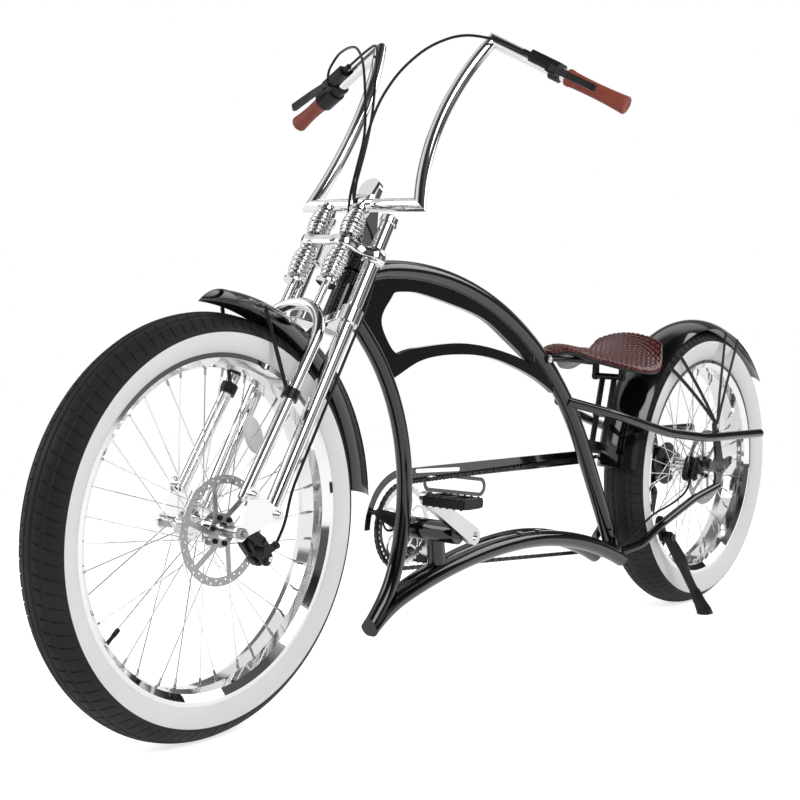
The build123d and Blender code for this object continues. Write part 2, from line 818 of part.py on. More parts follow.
low_seat = rod_at(HIGH_CROWN)
high_seat = rod_at(HIGH_CROWN + CROWN_T)
coils = [
    spring(start, end, side)
    for side in (SPRING_Y, -SPRING_Y)
    for start, end in ((LOWER_SPRING[0], low_seat + 1), (high_seat - 1, UPPER_SPRING[1]))
]
with BuildPart() as fork_springs:
    for coil_part in coils:
        add(coil_part)
    add(upper_crown.part, mode=Mode.SUBTRACT)
keep("fork_springs", fork_springs)

LEG_PIVOT = fork_point(LEG_LOW, LEG_AHEAD, 0)
ROCKER_LUGS = [(spot.X, spot.Z, 13) for spot in (F_PIVOT, LEG_PIVOT, F_AXLE)]
rocker_ties = [((x, z, 9), (u, w, 9)) for (x, z, _), (u, w, _) in zip(ROCKER_LUGS, ROCKER_LUGS[1:] + ROCKER_LUGS[:1])]
rocker_plan = tied_outline(rocker_ties + [(lug, lug[:2] + (lug[2] + 0.5,)) for lug in ROCKER_LUGS], 10)
with BuildPart() as rockers:
    with BuildSketch(side_plane(ROCKER_Y + ROCKER_T)):
        add(rocker_plan)
        with Locations((F_AXLE.X, F_AXLE.Z)):
            Circle(F_AXLE_R, mode=Mode.SUBTRACT)
    extrude(amount=ROCKER_T)
    with BuildSketch(side_plane(ROCKER_Y + ROCKER_T + 4)):
        with Locations((F_PIVOT.X, F_PIVOT.Z), (LEG_PIVOT.X, LEG_PIVOT.Z)):
            Circle(7.5)
    extrude(amount=ROCKER_Y + ROCKER_T + 4 - LEG_Y)
    mirror(about=Plane.XZ)
    add(fork_legs.part, mode=Mode.SUBTRACT)
    add(front_legs.part, mode=Mode.SUBTRACT)
keep("rockers", rockers)

# Handlebar, its tubes mitred where they meet


def mitre(spot, first, second):
    """The plane that halves the corner between two tubes' directions."""
    return Plane(spot, z_dir=(first.normalized() + second.normalized()))


BAR_END = Vector(BAR_END_X, BAR_END_Y, BAR_END_Z)
BAR_TOP = Vector(BAR_TOP_X, BAR_TOP_Y, BAR_TOP_Z)
BAR_MID = Vector(BAR_MID_X, BAR_MID_Y, BAR_MID_Z)
BAR_LOW = Vector(BAR_X, BAR_Y, BAR_Z)
BAR_RUN = (BAR_END - BAR_TOP).normalized()
with BuildLine() as riser_path:
    ThreePointArc(BAR_TOP, BAR_MID, BAR_LOW)
riser_top = riser_path.line % 0
riser_low = riser_path.line % 1
top_mitre = mitre(BAR_TOP, BAR_RUN * -1, riser_top)
low_mitre = mitre(BAR_LOW, riser_low, Vector(0, -1, 0))
with BuildPart() as bar_end:
    with BuildSketch(Plane(BAR_END, z_dir=BAR_RUN * -1)):
        Circle(BAR_D / 2)
    extrude(amount=(BAR_END - BAR_TOP).length + BAR_D)
    split(bisect_by=top_mitre, keep=Keep.BOTTOM)
with BuildPart() as bar_riser:
    with BuildLine() as riser_run:
        Line(BAR_TOP - riser_top * BAR_D, BAR_TOP)
        ThreePointArc(BAR_TOP, BAR_MID, BAR_LOW)
        Line(BAR_LOW, BAR_LOW + riser_low * BAR_D)
    with BuildSketch(Plane(riser_run.line @ 0, z_dir=riser_top)):
        Circle(BAR_D / 2)
    sweep()
    split(bisect_by=top_mitre, keep=Keep.TOP)
    split(bisect_by=low_mitre, keep=Keep.BOTTOM)
with BuildPart() as bar_cross:
    with BuildSketch(side_plane(BAR_Y + BAR_D)):
        with Locations((BAR_X, BAR_Z)):
            Circle(BAR_D / 2)
    extrude(amount=2 * (BAR_Y + BAR_D))
    split(bisect_by=low_mitre, keep=Keep.TOP)
    right_mitre = Plane(
        BAR_LOW - Vector(0, 2 * BAR_Y, 0), z_dir=Vector(low_mitre.z_dir.X, -low_mitre.z_dir.Y, low_mitre.z_dir.Z)
    )
    split(bisect_by=right_mitre, keep=Keep.TOP)
with BuildPart() as bar_risers:
    add(bar_riser.part)
    mirror(about=Plane.XZ)
with BuildPart() as bar_ends:
    add(bar_end.part)
    mirror(about=Plane.XZ)
keep("bar_cross", bar_cross)
keep("bar_risers", bar_risers)
keep("bar_ends", bar_ends)

def bar_plane(back):
    """A plane square to the left bar end, this far in from its tip."""
    return Plane(BAR_END - BAR_RUN * back, x_dir=(1, 0, 0.2), z_dir=BAR_RUN)


def right_bar_plane(back):
    """A plane square to the right bar end, this far in from its tip."""
    run = Vector(BAR_RUN.X, -BAR_RUN.Y, BAR_RUN.Z)
    return Plane(Vector(BAR_END.X, -BAR_END.Y, BAR_END.Z) - run * back, x_dir=(1, 0, 0.2), z_dir=run)


SHIFTER_L = 32.0
SHIFTER_D = 41.0
with BuildPart() as grips:
    with BuildSketch(bar_plane(GRIP_L)):
        Circle(GRIP_D / 2)
        Circle(BAR_D / 2, mode=Mode.SUBTRACT)
    extrude(amount=GRIP_L)
    with BuildSketch(bar_plane(0)):
        Circle(GRIP_D / 2 + 1)
    extrude(amount=4)
    mirror(about=Plane.XZ)
    with BuildSketch(right_bar_plane(GRIP_L)):
        Circle(GRIP_D)
    extrude(amount=SHIFTER_L, mode=Mode.SUBTRACT)
keep("grips", grips)

LEVER_GAP = 12.0
LEVER_BODY = 60.0
LEVER_BARREL = 18.0
LEVER_SPOT = (21.0, -5.0)
lever_root = BAR_END - BAR_RUN * (GRIP_L + 22)
ahead_dir = bar_plane(0).x_dir
blade_plane = Plane(lever_root, x_dir=BAR_RUN, z_dir=BAR_RUN.cross(ahead_dir))
blade_plan = tied_outline([((0, 27, 8), (38, 39, 4.5)), ((38, 39, 4.5), (92, 46, 5.5))], 10)
with BuildPart() as brake_levers:
    with BuildSketch(bar_plane(GRIP_L + LEVER_GAP + 20)):
        Circle(BAR_D / 2 + 5)
        with Locations((21, 0)):
            Rectangle(26, 18)
        Circle(BAR_D / 2, mode=Mode.SUBTRACT)
    extrude(amount=20)
    with BuildSketch(bar_plane(GRIP_L + LEVER_GAP + LEVER_BODY)):
        with Locations(LEVER_SPOT):
            RectangleRounded(22, 22, 7)
        Circle(BAR_D / 2, mode=Mode.SUBTRACT)
    extrude(amount=LEVER_BODY)
    with BuildSketch(bar_plane(GRIP_L + LEVER_GAP + LEVER_BODY + LEVER_BARREL)):
        with Locations(LEVER_SPOT):
            Circle(5.5)
    extrude(amount=LEVER_BARREL)
    with BuildSketch(blade_plane):
        add(blade_plan)
    extrude(amount=6, both=True)
    mirror(about=Plane.XZ)
    with BuildSketch(right_bar_plane(GRIP_L + LEVER_GAP)):
        Circle(SHIFTER_D / 2)
        Circle(BAR_D / 2, mode=Mode.SUBTRACT)
    extrude(amount=LEVER_GAP + SHIFTER_L - 1)
keep("brake_levers", brake_levers)

TONGUE_W = 46.0
TONGUE_H = 32.0
TONGUE_T = 12.0
STEM_TOP = fork_point(HIGH_CROWN + CROWN_T + 30, 0, 0)
stem_arm = link(
    side_plane(17), (STEM_TOP.X, STEM_TOP.Z, 18), (BAR_X, BAR_Z, BAR_D / 2 + 8), 34
)
with BuildPart() as stem:
    with BuildSketch(fork_plane(HIGH_CROWN + CROWN_T)):
        Circle(STEERER_D / 2 + 5)
    extrude(amount=34)
    add(stem_arm)
    with BuildSketch(Plane((BAR_X, 0, BAR_Z), x_dir=(0, 1, 0), z_dir=AHEAD)):
        with Locations((0, TONGUE_H / 2)):
            Rectangle(TONGUE_W, TONGUE_H)
        with Locations((0, TONGUE_H)):
            Circle(TONGUE_W / 2)
    extrude(amount=TONGUE_T / 2, both=True)
    add(steerer.part, mode=Mode.SUBTRACT)
    add(bar_cross.part, mode=Mode.SUBTRACT)
keep("stem", stem)

# Front mudguard stays
stay_foot = F_PIVOT + FRONT_UP * 187
stay_top = rim_spot(F_AXLE, F_FENDER_R - FENDER_CROWN, 104, F_FENDER_HALF)
front_arm = bar(((stay_foot.X, LEG_Y - 6, stay_foot.Z), stay_top), None, 7)
crown_foot = fork_point(LOW_CROWN + 4, 22, 0)
nose_strap = strap(
    tuple(crown_foot), rim_spot(F_AXLE, F_FENDER_R - 1, 128.5, 0), 26, 4, (-0.6, 0, 0.8)
)
with BuildPart() as front_fender_stays:
    add(front_arm)
    with BuildSketch(Plane(stay_foot + Vector(0, LEG_Y, 0) - FRONT_UP * 9, z_dir=FRONT_UP)):
        Circle(FRONT_LEG_D / 2 + 4)
    extrude(amount=18)
    mirror(about=Plane.XZ)
    add(nose_strap)
    for cutter in (front_legs, front_fender, lower_crown, steerer):
        add(cutter.part, mode=Mode.SUBTRACT)
keep("front_fender_stays", front_fender_stays)

# Brake calipers, each straddling its rotor


def caliper(centre, body, arm, plate_y):
    """A caliper body with an arm to the plate that carries it."""
    hull = link(side_plane(75), body[0], body[1], 39)
    foot = link(side_plane(plate_y), arm[0], arm[1], plate_y - 70)
    slot = HUB_HALF - 3 - ROTOR_T / 2
    with BuildPart() as clamp:
        add(hull)
        add(foot)
        with BuildSketch(side_plane(slot + 6)):
            with Locations((centre.X, centre.Z)):
                Circle(ROTOR_R + 5)
        extrude(amount=12, mode=Mode.SUBTRACT)
    return clamp


front_grip = caliper(
    F_AXLE, ((1590, 328, 20), (1562, 296, 20)), ((1588, 326, 12), (1628, 352, 9)), ROCKER_Y
)
with BuildPart() as front_caliper:
    add(front_grip.part)
    add(fork_legs.part, mode=Mode.SUBTRACT)
keep("front_caliper", front_caliper)
rear_caliper = caliper(R_AXLE, ((72, 352, 19), (84, 322, 18)), ((66, 348, 12), (34, 352, 12)), DROP_Y)
keep("rear_caliper", rear_caliper)

# Saddle on its sprung carrier
SADDLE_SECTIONS = (  # x, half width, middle height, edge height, depth
    (645.5, 15.0, 630.0, 625.0, 15.0),
    (600.0, 32.0, 638.0, 630.0, 24.0),
    (520.0, 60.0, 634.0, 619.0, 27.0),
    (430.0, 102.0, 632.0, 612.0, 28.0),
    (355.0, 110.0, 641.0, 613.0, 30.0),
    (305.0, 78.0, 655.0, 636.0, 26.0),
)
SADDLE_EDGE = 15.0
with BuildPart() as saddle:
    for x, half, middle, edge, depth in SADDLE_SECTIONS:
        low = edge - SADDLE_EDGE
        with BuildSketch(Plane((x, 0, 0), x_dir=(0, 1, 0), z_dir=(1, 0, 0))):
            with BuildLine():
                ThreePointArc((-half, edge), (0, middle), (half, edge))
                Line((half, edge), (half, low))
                ThreePointArc((half, low), (0, middle - depth), (-half, low))
                Line((-half, low), (-half, edge))
            make_face()
    loft()
keep("saddle", saddle)

HINGE = (668.0, 612.0)
SEAT_TOP = (389.0, 562.0)
SEAT_FOOT = (427.0, 404.0)
rail = bar(
    ((HINGE[0], 16, HINGE[1] - 6), (560, 24, 604), (SEAT_TOP[0], 34, 590), (332, 38, 622)),
    [150, 100], 10,
)
rail_lug = link(side_plane(38), (*SEAT_TOP, 9), (SEAT_TOP[0], 590, 8), 8)
with BuildPart() as seat_frame:
    add(rail)
    add(rail_lug)
    mirror(about=Plane.XZ)
    with BuildSketch(side_plane(40)):
        with Locations(SEAT_TOP):
            Circle(7)
    extrude(amount=80)
    with BuildSketch(side_plane(22)):
        with Locations((HINGE[0], HINGE[1] - 6)):
            Circle(8)
    extrude(amount=44)
    add(frame_arch.part, mode=Mode.SUBTRACT)
    add(saddle.part, mode=Mode.SUBTRACT)
keep("seat_frame", seat_frame)

seat_axis = Vector(SEAT_TOP[0] - SEAT_FOOT[0], 0, SEAT_TOP[1] - SEAT_FOOT[1]).normalized()
strut_left = bar(((SEAT_FOOT[0], 15, SEAT_FOOT[1]), (SEAT_TOP[0], 15, SEAT_TOP[1])), None, 13)
foot_link = link(side_plane(7), (478, 412, 14), (*SEAT_FOOT, 13), 14)
with BuildPart() as seat_strut:
    add(strut_left)
    mirror(about=Plane.XZ)
    with BuildSketch(side_plane(26)):
        with Locations(SEAT_FOOT):
            Circle(7)
    extrude(amount=52)
    add(foot_link)
    with BuildSketch(Plane(Vector(SEAT_FOOT[0], 0, SEAT_FOOT[1]) + seat_axis * 70, z_dir=seat_axis)):
        Rectangle(16, 40)
    extrude(amount=8)
    for cutter in (frame_arch, seat_frame):
        add(cutter.part, mode=Mode.SUBTRACT)
keep("seat_strut", seat_strut)

# Drive
RING_R = CHAIN_PITCH / (2 * sin(pi / RING_TEETH))
COG_R = CHAIN_PITCH / (2 * sin(pi / COG_TEETH))
PULLEY_R = CHAIN_PITCH / (2 * sin(pi / PULLEY_TEETH))
RING_SPOT = (BB_X, BB_Z)
COG_SPOT = (R_AXLE.X, R_AXLE.Z)


def tangent(first, r1, second, r2, hand):
    """The angle on the first circle where a chain run leaves for the second."""
    run = (second[0] - first[0], second[1] - first[1])
    reach = hypot(*run)
    return atan2(run[1], run[0]) - hand * acos((r1 - r2) / reach)


leave_ring = tangent(RING_SPOT, RING_R, COG_SPOT, COG_R, 1)
leave_cog = tangent(COG_SPOT, COG_R, GUIDE, -PULLEY_R, 1)
leave_guide = tangent(GUIDE, PULLEY_R, TENSION, -PULLEY_R, -1)
leave_tension = tangent(TENSION, PULLEY_R, RING_SPOT, RING_R, 1)


def arc_points(spot, radius, start, end):
    """Points round one wheel, close together."""
    count = max(4, ceil(abs(end - start) * radius / 1.5))
    turns = [start + (end - start) * k / count for k in range(count + 1)]
    return [(spot[0] + radius * cos(t), spot[1] + radius * sin(t)) for t in turns]


def unwind(start, end, hand):
    """The end angle, past the start in the hand's direction."""
    while hand * (end - start) < 0:
        end += hand * 2 * pi
    while hand * (end - start) > 2 * pi:
        end -= hand * 2 * pi
    return end


loop = []
for spot, radius, start, end, hand in (
    (COG_SPOT, COG_R, leave_ring, leave_cog, 1),
    (GUIDE, PULLEY_R, leave_cog + pi, leave_guide, -1),
    (TENSION, PULLEY_R, leave_guide + pi, leave_tension, 1),
    (RING_SPOT, RING_R, leave_tension, leave_ring, 1),
):
    loop.append(arc_points(spot, radius, start, unwind(start, end, hand)))
route = [point for wrap in loop for point in wrap]
lengths = [0.0]
for a, b in zip(route, route[1:] + route[:1]):
    lengths.append(lengths[-1] + hypot(b[0] - a[0], b[1] - a[1]))
links = 2 * round(lengths[-1] / CHAIN_PITCH / 2)
half_step = lengths[-1] / links / 2


def chain_spot(step):
    """The point and direction after this many half links."""
    target = (step * half_step) % lengths[-1]
    k = max(i for i in range(len(route)) if lengths[i] <= target + 1e-9)
    a, b = route[k], route[(k + 1) % len(route)]
    span = lengths[k + 1] - lengths[k]
    share = (target - lengths[k]) / span if span > 1e-9 else 0.0
    return (a[0] + (b[0] - a[0]) * share, a[1] + (b[1] - a[1]) * share)


def chain_piece(first, last):
    """A stretch of chain, wide at each pin and waisted between them."""
    left, right = [], []
    for step in range(first, last + 1):
        here = chain_spot(step)
        back, fore = chain_spot(step - 1), chain_spot(step + 1)
        run = hypot(fore[0] - back[0], fore[1] - back[1])
        across = (-(fore[1] - back[1]) / run, (fore[0] - back[0]) / run)
        half = CHAIN_HIGH / 2 if step % 2 == 0 else CHAIN_HIGH / 2 - 1.3
        left.append((here[0] + across[0] * half, here[1] + across[1] * half))
        right.append((here[0] - across[0] * half, here[1] - across[1] * half))
    with BuildPart() as stretch:
        with BuildSketch(side_plane(CHAIN_Y + CHAIN_T / 2)):
            with BuildLine():
                Polyline(*left, *reversed(right), close=True)
            make_face()
        extrude(amount=CHAIN_T)
    return stretch


ends = []
count = 0
for wrap in loop:
    ends.append((count, count + len(wrap) - 1))
    count += len(wrap)
cog_start = 0
tension_end = 2 * ceil(lengths[ends[2][1]] / half_step / 2)
ring_start = 2 * int(lengths[ends[3][0]] / half_step / 2)
ring_end = 2 * ceil(lengths[ends[3][1]] / half_step / 2)
chain_rear = chain_piece(cog_start, tension_end)
chain_lower = chain_piece(tension_end, ring_start)
chain_front = chain_piece(ring_start, ring_end)
chain_upper = chain_piece(ring_end, 2 * links)
for name, stretch in (
    ("chain_rear", chain_rear),
    ("chain_lower", chain_lower),
    ("chain_front", chain_front),
    ("chain_upper", chain_upper),
):
    keep(name, stretch)

COGS = ((-66.5, 40.0), (-62.0, 46.0), (-57.5, 52.0))  # left face and radius
with BuildPart() as cassette:
    with BuildSketch(side_plane(CHAIN_Y + 1.5)):
        with Locations(COG_SPOT):
            Circle(COG_R - CHAIN_HIGH / 2 - 0.1)
    extrude(amount=3)
    for face_y, radius in COGS:
        with BuildSketch(side_plane(face_y)):
            with Locations(COG_SPOT):
                RegularPolygon(radius, 28)
        extrude(amount=2)
    with BuildSketch(side_plane(-HUB_HALF - 3)):
        with Locations(COG_SPOT):
            Circle(20)
    extrude(amount=DROP_Y - HUB_HALF - 5)
    add(rear_axle.part, mode=Mode.SUBTRACT)
keep("cassette", cassette)
keep("rear_axle", rear_axle)

CAGE_T = 2.0
cage = [
    link(side_plane(y), (*GUIDE, 12), (*TENSION, 11), CAGE_T)
    for y in (CHAIN_Y + 7, CHAIN_Y - 5)
]
hanger = link(side_plane(-DROP_Y), (8, 292, 11), (*GUIDE, 13), DROP_T)
with BuildPart() as derailleur:
    for plate in cage:
        add(plate)
    add(hanger)
    for spot in (GUIDE, TENSION):
        with BuildSketch(side_plane(CHAIN_Y + 2.5)):
            with Locations(spot):
                Circle(PULLEY_R - CHAIN_HIGH / 2 - 0.1)
        extrude(amount=5)
    with BuildSketch(side_plane(CHAIN_Y + 9)):
        with Locations(GUIDE, TENSION):
            Circle(4)
    extrude(amount=CHAIN_Y + 9 + DROP_Y + 1)
    for cutter in (chainstays, dropouts, chain_rear):
        add(cutter.part, mode=Mode.SUBTRACT)
keep("derailleur", derailleur)

# Cranks, chainring and pedals
turn = radians(CRANK_ANGLE)
LEFT_PEDAL = (BB_X + CRANK_L * cos(turn), BB_Z + CRANK_L * sin(turn))
RIGHT_PEDAL = (BB_X - CRANK_L * cos(turn), BB_Z - CRANK_L * sin(turn))
CRANK_END = CRANK_Y + CRANK_T
crank_links = [
    link(side_plane(CRANK_END), (*RING_SPOT, 17), (*LEFT_PEDAL, 13), CRANK_T),
    link(side_plane(-CRANK_Y), (*RING_SPOT, 17), (*RIGHT_PEDAL, 13), CRANK_T),
]
CRANK_RECESS = 5.0
PEDAL_PIN = 12.0
with BuildPart() as cranks:
    with BuildSketch(side_plane(CRANK_Y)):
        with Locations(RING_SPOT):
            Circle(SPINDLE_D / 2)
    extrude(amount=2 * CRANK_Y)
    for arm in crank_links:
        add(arm)
    for spot, left in ((LEFT_PEDAL, CRANK_END + 5 + PEDAL_L - 4), (RIGHT_PEDAL, -CRANK_END)):
        with BuildSketch(side_plane(left)):
            with Locations(spot):
                Circle(PEDAL_PIN / 2)
        extrude(amount=PEDAL_L + 1)
    for left in (CRANK_END, CRANK_RECESS - CRANK_END):
        with BuildSketch(side_plane(left)):
            with Locations(RING_SPOT):
                Circle(8.5)
        extrude(amount=CRANK_RECESS, mode=Mode.SUBTRACT)

TOOTH_TIP = RING_R - CHAIN_HIGH / 2 - 0.4
with BuildPart() as chainring:
    outline = []
    for tooth in range(RING_TEETH):
        middle = 2 * pi * tooth / RING_TEETH
        for shift, r in ((-0.36, TOOTH_TIP - 4), (-0.14, TOOTH_TIP), (0.14, TOOTH_TIP), (0.36, TOOTH_TIP - 4)):
            t = middle + shift * 2 * pi / RING_TEETH
            outline.append((BB_X + r * cos(t), BB_Z + r * sin(t)))
    with BuildSketch(side_plane(CHAIN_Y + 1)):
        with BuildLine():
            Polyline(*outline, close=True)
        make_face()
        with Locations(RING_SPOT):
            Circle(TOOTH_TIP - 12, mode=Mode.SUBTRACT)
            Circle(30)
            with PolarLocations(47, 5, start_angle=20):
                Circle(24)
            with PolarLocations(47, 5, start_angle=20):
                Circle(19, mode=Mode.SUBTRACT)
            Circle(SPINDLE_D / 2, mode=Mode.SUBTRACT)
    extrude(amount=2)
keep("cranks", cranks)
keep("chainring", chainring)


def pedal(spot, left):
    """A block pedal on its pin."""
    with BuildPart() as block:
        with BuildSketch(side_plane(left)):
            with Locations(spot):
                RectangleRounded(PEDAL_W, PEDAL_T, 6)
        extrude(amount=PEDAL_L)
        with BuildSketch(Plane((spot[0], left - PEDAL_L / 2, spot[1] - PEDAL_T / 2))):
            with Locations((PEDAL_W / 4 + 2, 0), (-PEDAL_W / 4 - 2, 0)):
                SlotOverall(PEDAL_L - 24, 12, rotation=90)
        extrude(amount=PEDAL_T, mode=Mode.SUBTRACT)
        with BuildSketch(side_plane(left)):
            with Locations(spot):
                Circle(PEDAL_PIN / 2 + RUN)
        extrude(amount=PEDAL_L, mode=Mode.SUBTRACT)
    return block


keep("pedal_left", pedal(LEFT_PEDAL, CRANK_END + 5 + PEDAL_L))
keep("pedal_right", pedal(RIGHT_PEDAL, -CRANK_END - 5))

# Chain guard: a band round the ring's front and a long plate over the chain
GUARD_Y = CHAIN_Y - 6
GUARD_T = 2.0
GUARD_OUT = 112.0
GUARD_IN = 97.0
GUARD_LOW = 352.0
GUARD_END = 330.0
GUARD_LOOP = (847.0, 347.0)
GUARD_SLOT = (907.0, 381.0)
with BuildPart() as chain_guard:
    with BuildSketch(side_plane(GUARD_Y)):
        with Locations(RING_SPOT):
            Circle(GUARD_OUT)
            Circle(GUARD_IN, mode=Mode.SUBTRACT)
        with Locations((BB_X - GUARD_OUT, BB_Z - GUARD_OUT / 2 - 4)):
            Rectangle(2 * GUARD_OUT, 3 * GUARD_OUT, mode=Mode.SUBTRACT)
        with Locations((BB_X, BB_Z - GUARD_OUT)):
            Rectangle(3 * GUARD_OUT, 2 * GUARD_OUT, mode=Mode.SUBTRACT)
        with BuildLine():
            Polyline(
                (BB_X + 6, BB_Z + GUARD_OUT),
                (GUARD_END, BB_Z + GUARD_OUT - 6),
                (GUARD_END + 14, GUARD_LOW + 4),
                (BB_X - 40, BB_Z + GUARD_IN - 14),
                (BB_X + 6, BB_Z + GUARD_IN),
                close=True,
            )
        make_face()
        with Locations(GUARD_LOOP):
            SlotOverall(216, 40, rotation=8)
            SlotOverall(200, 24, rotation=8, mode=Mode.SUBTRACT)
        with Locations(GUARD_SLOT):
            SlotOverall(150, 8, rotation=2.6, mode=Mode.SUBTRACT)
    extrude(amount=GUARD_T)
guard_link = link(
    side_plane(-BB_HALF), (*RING_SPOT, 20), (BB_X + 100 * cos(0.35), BB_Z + 100 * sin(0.35), 9), 4
)
with BuildPart() as guard_bracket:
    add(guard_link)
    with BuildSketch(side_plane(-BB_HALF)):
        with Locations(RING_SPOT):
            Circle(SPINDLE_D / 2 + 5)
    extrude(amount=4, mode=Mode.SUBTRACT)
    with BuildSketch(side_plane(-BB_HALF - 4)):
        with Locations((BB_X + 104 * cos(0.35), BB_Z + 104 * sin(0.35))):
            Circle(5)
    extrude(amount=-GUARD_Y - BB_HALF - 4)
keep("chain_guard", chain_guard)
keep("guard_bracket", guard_bracket)

# Side stand, its foot cut level with the ground the leaned bicycle stands on
tilt = radians(LEAN)
GROUND = -max(crown_radius(F_TYRE_HALF), crown_radius(R_TYRE_HALF)) * (1 - cos(tilt))
STAND_SECTIONS = ((0.0, 22.0, 16.0), (0.5, 28.0, 15.0), (1.0, 20.0, 14.0))  # place, width, thickness
stand_top = Vector(STAND_X, STAND_Y, STAND_Z)
stand_run = Vector(FOOT_X, FOOT_Y, 10) - stand_top
with BuildPart() as stand_leg:
    for share, wide, thick in STAND_SECTIONS:
        with BuildSketch(Plane(stand_top + stand_run * share, x_dir=Vector(0, 1, 0).cross(stand_run), z_dir=stand_run)):
            RectangleRounded(wide, thick, 0.45 * thick)
    loft()
PIN_D = 10.0
with BuildPart() as side_stand:
    add(stand_leg.part)
    with BuildSketch(side_plane(STAND_Y + 9)):
        with Locations((STAND_X, STAND_Z)):
            Circle(13)
    extrude(amount=18)
    with Locations((FOOT_X - 4, FOOT_Y + 4, 9)):
        Box(44, 30, 12)
    with BuildSketch(side_plane(STAND_Y + 9)):
        with Locations((STAND_X, STAND_Z)):
            Circle(PIN_D / 2 + RUN)
    extrude(amount=18, mode=Mode.SUBTRACT)
    with BuildSketch(side_plane(STAND_Y + 29)):
        with Locations((STAND_X, STAND_Z)):
            Circle(PIN_D / 2 + 4.6)
    extrude(amount=20, mode=Mode.SUBTRACT)
    with BuildSketch(side_plane(STAND_Y - 9)):
        with Locations((STAND_X, STAND_Z)):
            Circle(15)
    extrude(amount=12, mode=Mode.SUBTRACT)
    with BuildSketch(Plane((0, 0, GROUND / cos(tilt)), z_dir=(0, -sin(tilt), cos(tilt)))):
        with Locations((FOOT_X, FOOT_Y)):
            Rectangle(200, 200)
    extrude(amount=-40, mode=Mode.SUBTRACT)
keep("side_stand", side_stand)

stand_plate = link(
    side_plane(STAND_Y - 10), (240, 226, 14), (STAND_X, STAND_Z, 13), 7
)
with BuildPart() as stand_bracket:
    add(stand_plate)
    with BuildSketch(side_plane(STAND_Y + 9.5 + 4)):
        with Locations((STAND_X, STAND_Z)):
            Circle(PIN_D / 2)
    extrude(amount=25)
    with BuildSketch(side_plane(STAND_Y + 9.5 + 4)):
        with Locations((STAND_X, STAND_Z)):
            Circle(PIN_D / 2 + 4)
    extrude(amount=4)
    add(chainstays.part, mode=Mode.SUBTRACT)
keep("stand_bracket", stand_bracket)

# Brake and shifter cables
CABLE_D = 5.0


def cable(name, corners):
    """A cable by way of its clips, each bend as wide as its runs leave room for."""
    spots = [Vector(*corner) for corner in corners]
    radii = []
    for before, spot, after in zip(spots, spots[1:], spots[2:]):
        first, second = spot - before, after - spot
        half_turn = radians(first.get_angle(second)) / 2
        radii.append(0.45 * min(first.length, second.length) / tan(half_turn))
    print(name, "bend radii", *[round(r) for r in radii])
    return bar([tuple(spot) for spot in spots], radii, CABLE_D)


barrel_end = bar_plane(GRIP_L + LEVER_GAP + LEVER_BODY + LEVER_BARREL)
left_root = barrel_end.from_local_coords(LEVER_SPOT)
right_root = Vector(left_root.X, -left_root.Y, left_root.Z)
shifter_root = right_bar_plane(GRIP_L - 10).from_local_coords((0, SHIFTER_D / 2))
GROMMET = (45.0, 29.0)  # ahead of the steering axis, to the left
GROMMET_TOP = HIGH_CROWN + CROWN_T + 7.5
left_cable = cable("left brake cable", [
    left_root, left_root - BAR_RUN * 52, (1118, 102, 1208), (1166, 62, 1182), (1212, 34, 1134),
    (1248, 19, 1078), (1270, 12, 1020), (1286, 9, 962), (1298, 8, 905), (1308, 16, 856),
    fork_point(GROMMET_TOP + 12, 44, 31), fork_point(GROMMET_TOP - 4, 41, 33),
])
shift_cable = cable("shifter cable", [
    shifter_root, (1026, -301, 1176), (1030, -272, 1207), (1066, -216, 1212), (1116, -150, 1203),
    (1162, -95, 1170), (1208, -50, 1122), (1242, -18, 1068), (1262, -1, 1012), (1280, -3, 955),
    (1296, -5, 900), (1306, 4, 856), fork_point(GROMMET_TOP + 12, 52, 19), fork_point(GROMMET_TOP - 4, 50, 23),
])
front_cable = cable("front brake cable", [
    right_root, right_root - Vector(BAR_RUN.X, -BAR_RUN.Y, BAR_RUN.Z) * 52, (1115, -100, 1206),
    (1155, -66, 1167), (1193, -38, 1113), (1222, -18, 1056), (1244, -11, 1002), (1262, -11, 952),
    (1279, -13, 906), fork_point(132, 60, 14), fork_point(102, 36, 40), fork_point(58, 0, 48),
    fork_point(-14, 0, 61), fork_point(-72, 14, 76), fork_point(-130, 17, 78), fork_point(-395, 17, 78),
    (1533, 77, 350), (1552, 70, 310),
])
with BuildPart() as fork_cables:
    with BuildSketch(fork_plane(HIGH_CROWN + CROWN_T, *GROMMET)):
        Circle(13)
    extrude(amount=GROMMET_TOP - HIGH_CROWN - CROWN_T)
    fillet(fork_cables.faces().sort_by(Axis(fork_point(0, 0, 0), UP))[-1].edges(), 4)
    add(left_cable)
    add(shift_cable)
    add(front_cable)
    add(front_caliper.part, mode=Mode.SUBTRACT)
keep("fork_cables", fork_cables)
back_cable = cable("rear brake cable", [
    (405, 40, 176), (350, 58, 206), (285, 64, 246), (215, 80, 268), (165, 88, 292), (138, 86, 330),
    (112, 78, 352), (86, 68, 352),
])
with BuildPart() as rear_cable:
    add(back_cable)
    for cutter in (lower_tubes, chainstays, rear_caliper):
        add(cutter.part, mode=Mode.SUBTRACT)
keep("rear_cable", rear_cable)

# Park it: lean every piece, then set the origin on the ground under the middle
leaned = {name: Rot(-LEAN, 0, 0) * part for name, part in PIECES.items()}
boxes = [part.bounding_box() for part in leaned.values()]
middle_x = (min(b.min.X for b in boxes) + max(b.max.X for b in boxes)) / 2
middle_y = (min(b.min.Y for b in boxes) + max(b.max.Y for b in boxes)) / 2
parked = Pos(-middle_x, -middle_y, -GROUND)
for name, part in leaned.items():
    placed = parked * part
    placed.label = name
    export_step(placed, f"parts/{name}.step")
print("pieces", len(leaned), "parked at", middle_x, middle_y, GROUND)
print("boss tops", *boss_tops)
